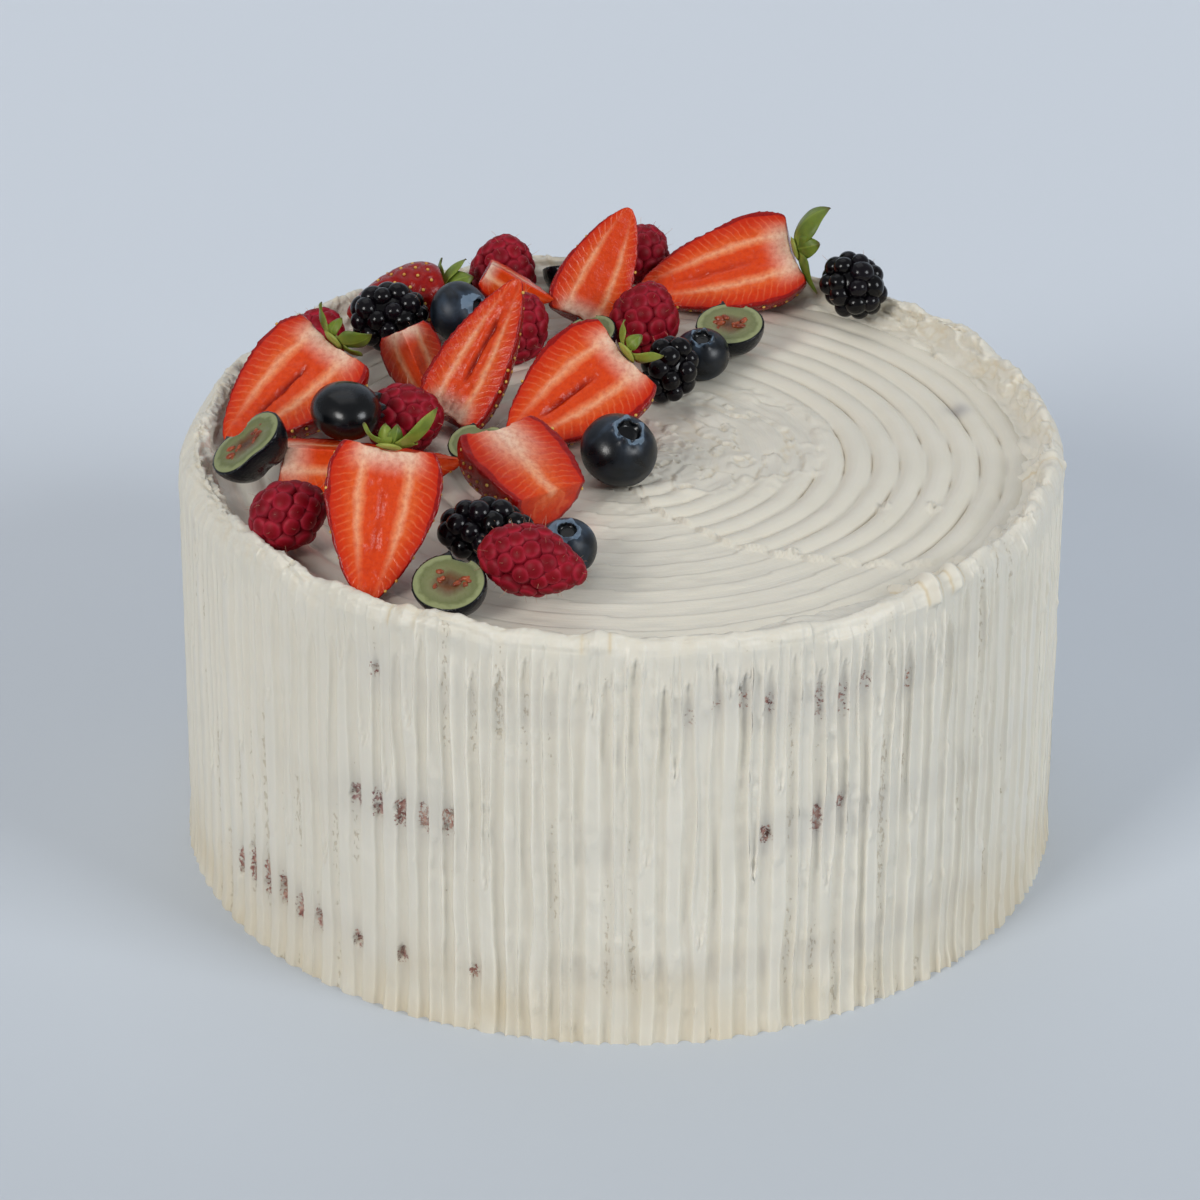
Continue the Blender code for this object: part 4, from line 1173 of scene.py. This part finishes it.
def calyx(length, leaves, fresh, random):
    """The leaves over the calyx end at +X, on a low ragged cap with the stub of a stem."""
    hub = Vector((length / 2 - 0.1 * MM, 0, 0))
    dome = [(1.0, 0), (0.95, 0.5), (0.45, 0.75), (0.2, 1.6), (-0.1, 2.6), (-0.5, 3.1), (-0.9, 2.0),
            (-1.0, 0)]
    base = turned_shape([(x * MM, r * MM) for x, r in dome], 24)
    outer = np.hypot(base.points[:, 1], base.points[:, 2]) > 1.5 * MM
    ragged_edge = 0.25 * soft_noise(base.points, 2 * MM, random.uniform(0, 50)) * outer
    base.points[:, 1:] *= (1 + ragged_edge)[:, None]
    base.values = {"along": np.full(len(base.points), 0.12), "side": np.ones(len(base.points)),
                   "fresh": np.full(len(base.points), fresh + 0.2)}
    shapes = [base.moved(Matrix.Translation(hub))]
    for angle, reach, lift in leaves:
        shapes.append(sepal(hub, angle, reach * MM, lift, fresh + random.uniform(-0.1, 0.1), random))
    return joined(shapes)


# Each berry as in the frame: its name, what it is, its sizes, its stem's heading, tilt and roll in
# degrees, and the leaves of its calyx, each as its angle, its length in mm and its lift.
# The sizes are length and width in mm, and then how open the slit of a half strawberry is, or how
# finely a raspberry's drupelets are drawn and how far it tapers. A blueberry's are its width in
# mm, how oval it is and its bloom, and a cut one's its width in mm and how dented its ends are.
FRUIT = (
    ("strawberry_whole_back", "whole", (25, 19), (15, 6, -28), (
        (60, 10, 15), (100, 10, 50), (150, 9, 60), (20, 9, 30))),
    ("strawberry_half_left", "half", (37, 31), (36, 31, 17), (
        (5, 10, 30), (80, 5, 60), (170, 9, 45), (225, 7, 20))),
    ("strawberry_quarter_left", "wedge", (44, 26), (178, 3, -30), ()),
    ("raspberry_left", "raspberry", (20, 17, 3, 0.25), (-155, -20, 0), ()),
    ("blueberry_half_rim", "blueberry_half", (20, 0.32), (108, 3, -37), ()),
    ("blueberry_half_front", "blueberry_half", (18, 0.05), (63, 30, 1), ()),
    ("bramble_front", "bramble", (23, 16), (180, 0, 0), ()),
    ("raspberry_front", "raspberry", (26, 17.5, 3, 0.55), (165, 8, 0), ()),
    ("blueberry_front", "blueberry", (14, 1, 0.3), (-90, 67, 0), ()),
    ("strawberry_chunk", "chunk", (38, 28), (130, 25, 5), ()),
    ("blueberry_centre", "blueberry", (18.5, 1, 0.2), (-53, 60, 0), ()),
    ("blueberry_half_inner", "blueberry_half", (15, 0.22), (73, 24, -5), ()),
    ("raspberry_inner", "raspberry", (21, 18, 3, 0.25), (160, -20, 0), ()),
    ("strawberry_wedge_left", "wedge", (25, 22), (128, 50, -34), ()),
    ("strawberry_half_middle", "half", (37, 29), (31, 25, 34), (
        (10, 7, 40), (90, 5, 60), (180, 8, 50))),
    ("strawberry_half_inner", "half", (39, 21), (-138, -51, -14), ()),
    ("bramble_inner", "bramble", (18, 15), (69, 50, 0), ()),
    ("blueberry_inner", "blueberry", (14, 1, 0.18), (-90, 69, 0), ()),
    ("blueberry_half_back", "blueberry_half", (17.5, 0.03), (76, 19, -2), ()),
    ("bramble_right", "bramble", (19, 17), (141, 40, 0), ()),
    ("strawberry_half_right", "half", (43, 26, 0.4), (10, 13, 38), (
        (60, 13.2, 54), (20, 9, 50), (120, 8, 40), (190, 12, 8))),
    ("strawberry_slice_tall", "slice", (32, 20), (-130, -50, -43), ()),
    ("raspberry_middle", "raspberry", (20, 18, 3, 0.25), (-134, -70, 0), ()),
    ("raspberry_core", "raspberry", (20, 17, 2, 0.25), (-160, -60, 0), ()),
    ("blueberry_half_leafy", "blueberry_half", (10, 0.05), (60, 45, 0), ()),
    ("raspberry_back", "raspberry", (20, 18, 2, 0.25), (-120, -70, 0), ()),
    ("strawberry_wedge_back", "wedge", (19, 16), (168, 26, -30), ()),
    ("raspberry_far", "raspberry", (17, 17, 2, 0.25), (-153, -60, 0), ()),
    ("blueberry_half_far", "blueberry_half", (14, 0.05), (0, 0, -34), ()),
    ("raspberry_far_left", "raspberry", (18, 16, 2, 0.25), (-160, -60, 0), ()),
    ("bramble_left", "bramble", (21, 18), (-175, 0, 0), ()),
    ("blueberry_half_middle", "blueberry_half", (14, 0.05), (93, 22, -17), ()),
    ("blueberry_back", "blueberry", (15.5, 1, 0.3), (-35, 23, 0), ()),
    ("blueberry_left", "blueberry", (19, 0.7, 0.0), (25, 0, 90), ()),
    ("strawberry_half_front", "half", (37, 27, 0.25), (77, 53, 15), (
        (0, 7, 35), (60, 5, 60), (105, 5, 60), (165, 13, 50), (205, 6, 20))),
)


def make_berry(kind, sizes, random):
    """The shape of one berry in its own frame, with its stem end at +X."""
    length, width = sizes[0] * MM, sizes[1] * MM
    if kind == "raspberry":
        return drupelet_berry(length, width, sizes[3], 4.4 * MM, 0.86, 1.16, 0.7, sizes[2], random)
    if kind == "bramble":
        return drupelet_berry(length, width, 0.1, 5.6 * MM, 0.95, 1.03, 0.2, 3, random)
    if kind == "blueberry":
        return whole_blueberry(length, sizes[1], sizes[2], random)
    if kind == "blueberry_half":
        return half_blueberry(length, sizes[1], random)
    return strawberry(kind, length, width, strawberry_cuts(kind, length), random, *sizes[2:])


def in_node(shape, turn, node):
    """The place of a shape turned by (heading, tilt, roll), with its box on the node's box."""
    heading, tilt, roll = (math.radians(angle) for angle in turn)
    spin = Euler((roll, -tilt, heading), "XYZ").to_matrix()
    turned = shape.points @ np.array(spin).T
    middle = (turned.min(0) + turned.max(0)) / 2
    low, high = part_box(node)
    return Matrix.Translation((low + high) / 2 - Vector(middle)) @ spin.to_4x4()


def make_fruit():
    strawberry_look = [strawberry_flesh(), strawberry_seed()]
    hairs = berry_hair()
    looks = {
        "raspberry": ("raspberry", [raspberry_skin(), hairs]),
        "bramble": ("bramble", [bramble_skin(), hairs]),
        "blueberry": ("blueberry", [blueberry_skin()]),
        "blueberry_half": ("blueberry_flesh", [blueberry_flesh(), blueberry_seed()]),
    }
    leaf = fresh_leaf()
    for number, (name, kind, sizes, turn, leaves) in enumerate(FRUIT):
        random = np.random.RandomState(100 + number)
        shape = make_berry(kind, sizes, random)
        matrix = in_node(shape, turn, name)
        slot, finishes = looks.get(kind, ("strawberry", strawberry_look))
        add_piece("ripe_" + name, mesh_of("ripe_" + name, shape), finishes, [name], matrix)
        if leaves:
            star = calyx(sizes[0] * MM, leaves, random.uniform(0.2, 0.45), random)
            title = "fresh_" + name + "_calyx"
            add_piece(title, mesh_of(title, star), [leaf], [name + "_calyx"], matrix)


# Stage, light and camera


def make_stage():
    """A pale floor that curves up behind into a backdrop, painted darker at the front and lighter towards
    the back as painted light.
    """
    made, tree = material("matt_backdrop", Roughness=0.8)
    place = add(tree, "TexCoord", {}, {}, "Object")
    # Painted light: the floor's colour goes from darker at the front to lighter towards the back
    behind = add(tree, "SeparateXYZ", {}, {0: place}, "Y")
    tone = add(tree, "MapRange", {}, {0: behind, 1: -0.2, 2: 0.55})
    color = ramp(tree, tone, ((0.0, "#C3CAD2"), (0.45, "#D6DDE6"), (1.0, "#DEE5EE")))
    bend = [(2.4 + math.sin(a), 1 - math.cos(a)) for a in np.radians(np.linspace(0, 90, 13))]
    section = [(-3.4, 0)] + bend + [(3.4, 3.4)]
    points = [(x, y, z) for y, z in section for x in (-4, 4)]
    floor = placed("floor", mesh_of("floor", Shape(points, [grid_faces(len(section), 2)])))
    floor.data.materials.append(finished(made, color))


def add_light(name, place, size, power, color):
    lamp = bpy.data.lights.new(name, "AREA")
    lamp.size = size
    lamp.energy = power
    lamp.color = color
    made = placed(name, lamp)
    made.location = place
    aim = Vector((0, 0, 0.06)) - Vector(place)
    made.rotation_euler = aim.to_track_quat("-Z", "Y").to_euler()


def make_light_and_camera():
    add_light("key softbox", (-2.7, -3.1, 2.5), 1.5, 100, (1, 0.985, 0.96))
    add_light("fill softbox", (3.3, -2.1, 2.3), 1.7, 88, (0.94, 0.97, 1))
    add_light("top softbox", (-0.5, 1.2, 3.2), 2.6, 14, (0.97, 0.985, 1))
    world = bpy.data.worlds.new("studio")
    world.use_nodes = True
    sky = world.node_tree.nodes["Background"]
    sky.inputs["Color"].default_value = linear("#DDE0E4")
    sky.inputs["Strength"].default_value = 0.4
    bpy.context.scene.world = world
    bpy.context.scene.view_settings.view_transform = "Standard"

    camera = bpy.data.cameras.new("camera")
    camera.lens = CAMERA_LENS
    camera.sensor_width = 36
    made = placed("camera", camera)
    back = CAMERA_RIGHT.cross(CAMERA_UP)
    turn = Matrix((CAMERA_RIGHT, CAMERA_UP, back)).transposed()
    made.matrix_world = Matrix.Translation(CAMERA_PLACE) @ turn.to_4x4()
    bpy.context.scene.camera = made


make_stage()
make_light_and_camera()
cream = buttercream()
cream_side(cream)
cream_top(cream)
cream_layer("cream_base", 0, 11.5 * MM, cream)
cream_layer("cream_lower_filling", 27 * MM, 43 * MM, cream)
cream_layer("cream_upper_filling", 62 * MM, 78 * MM, cream)
crumb = sponge_crumb()
for layer in ("sponge_lower", "sponge_middle", "sponge_upper"):
    sponge_layer(layer, crumb)
make_fruit()
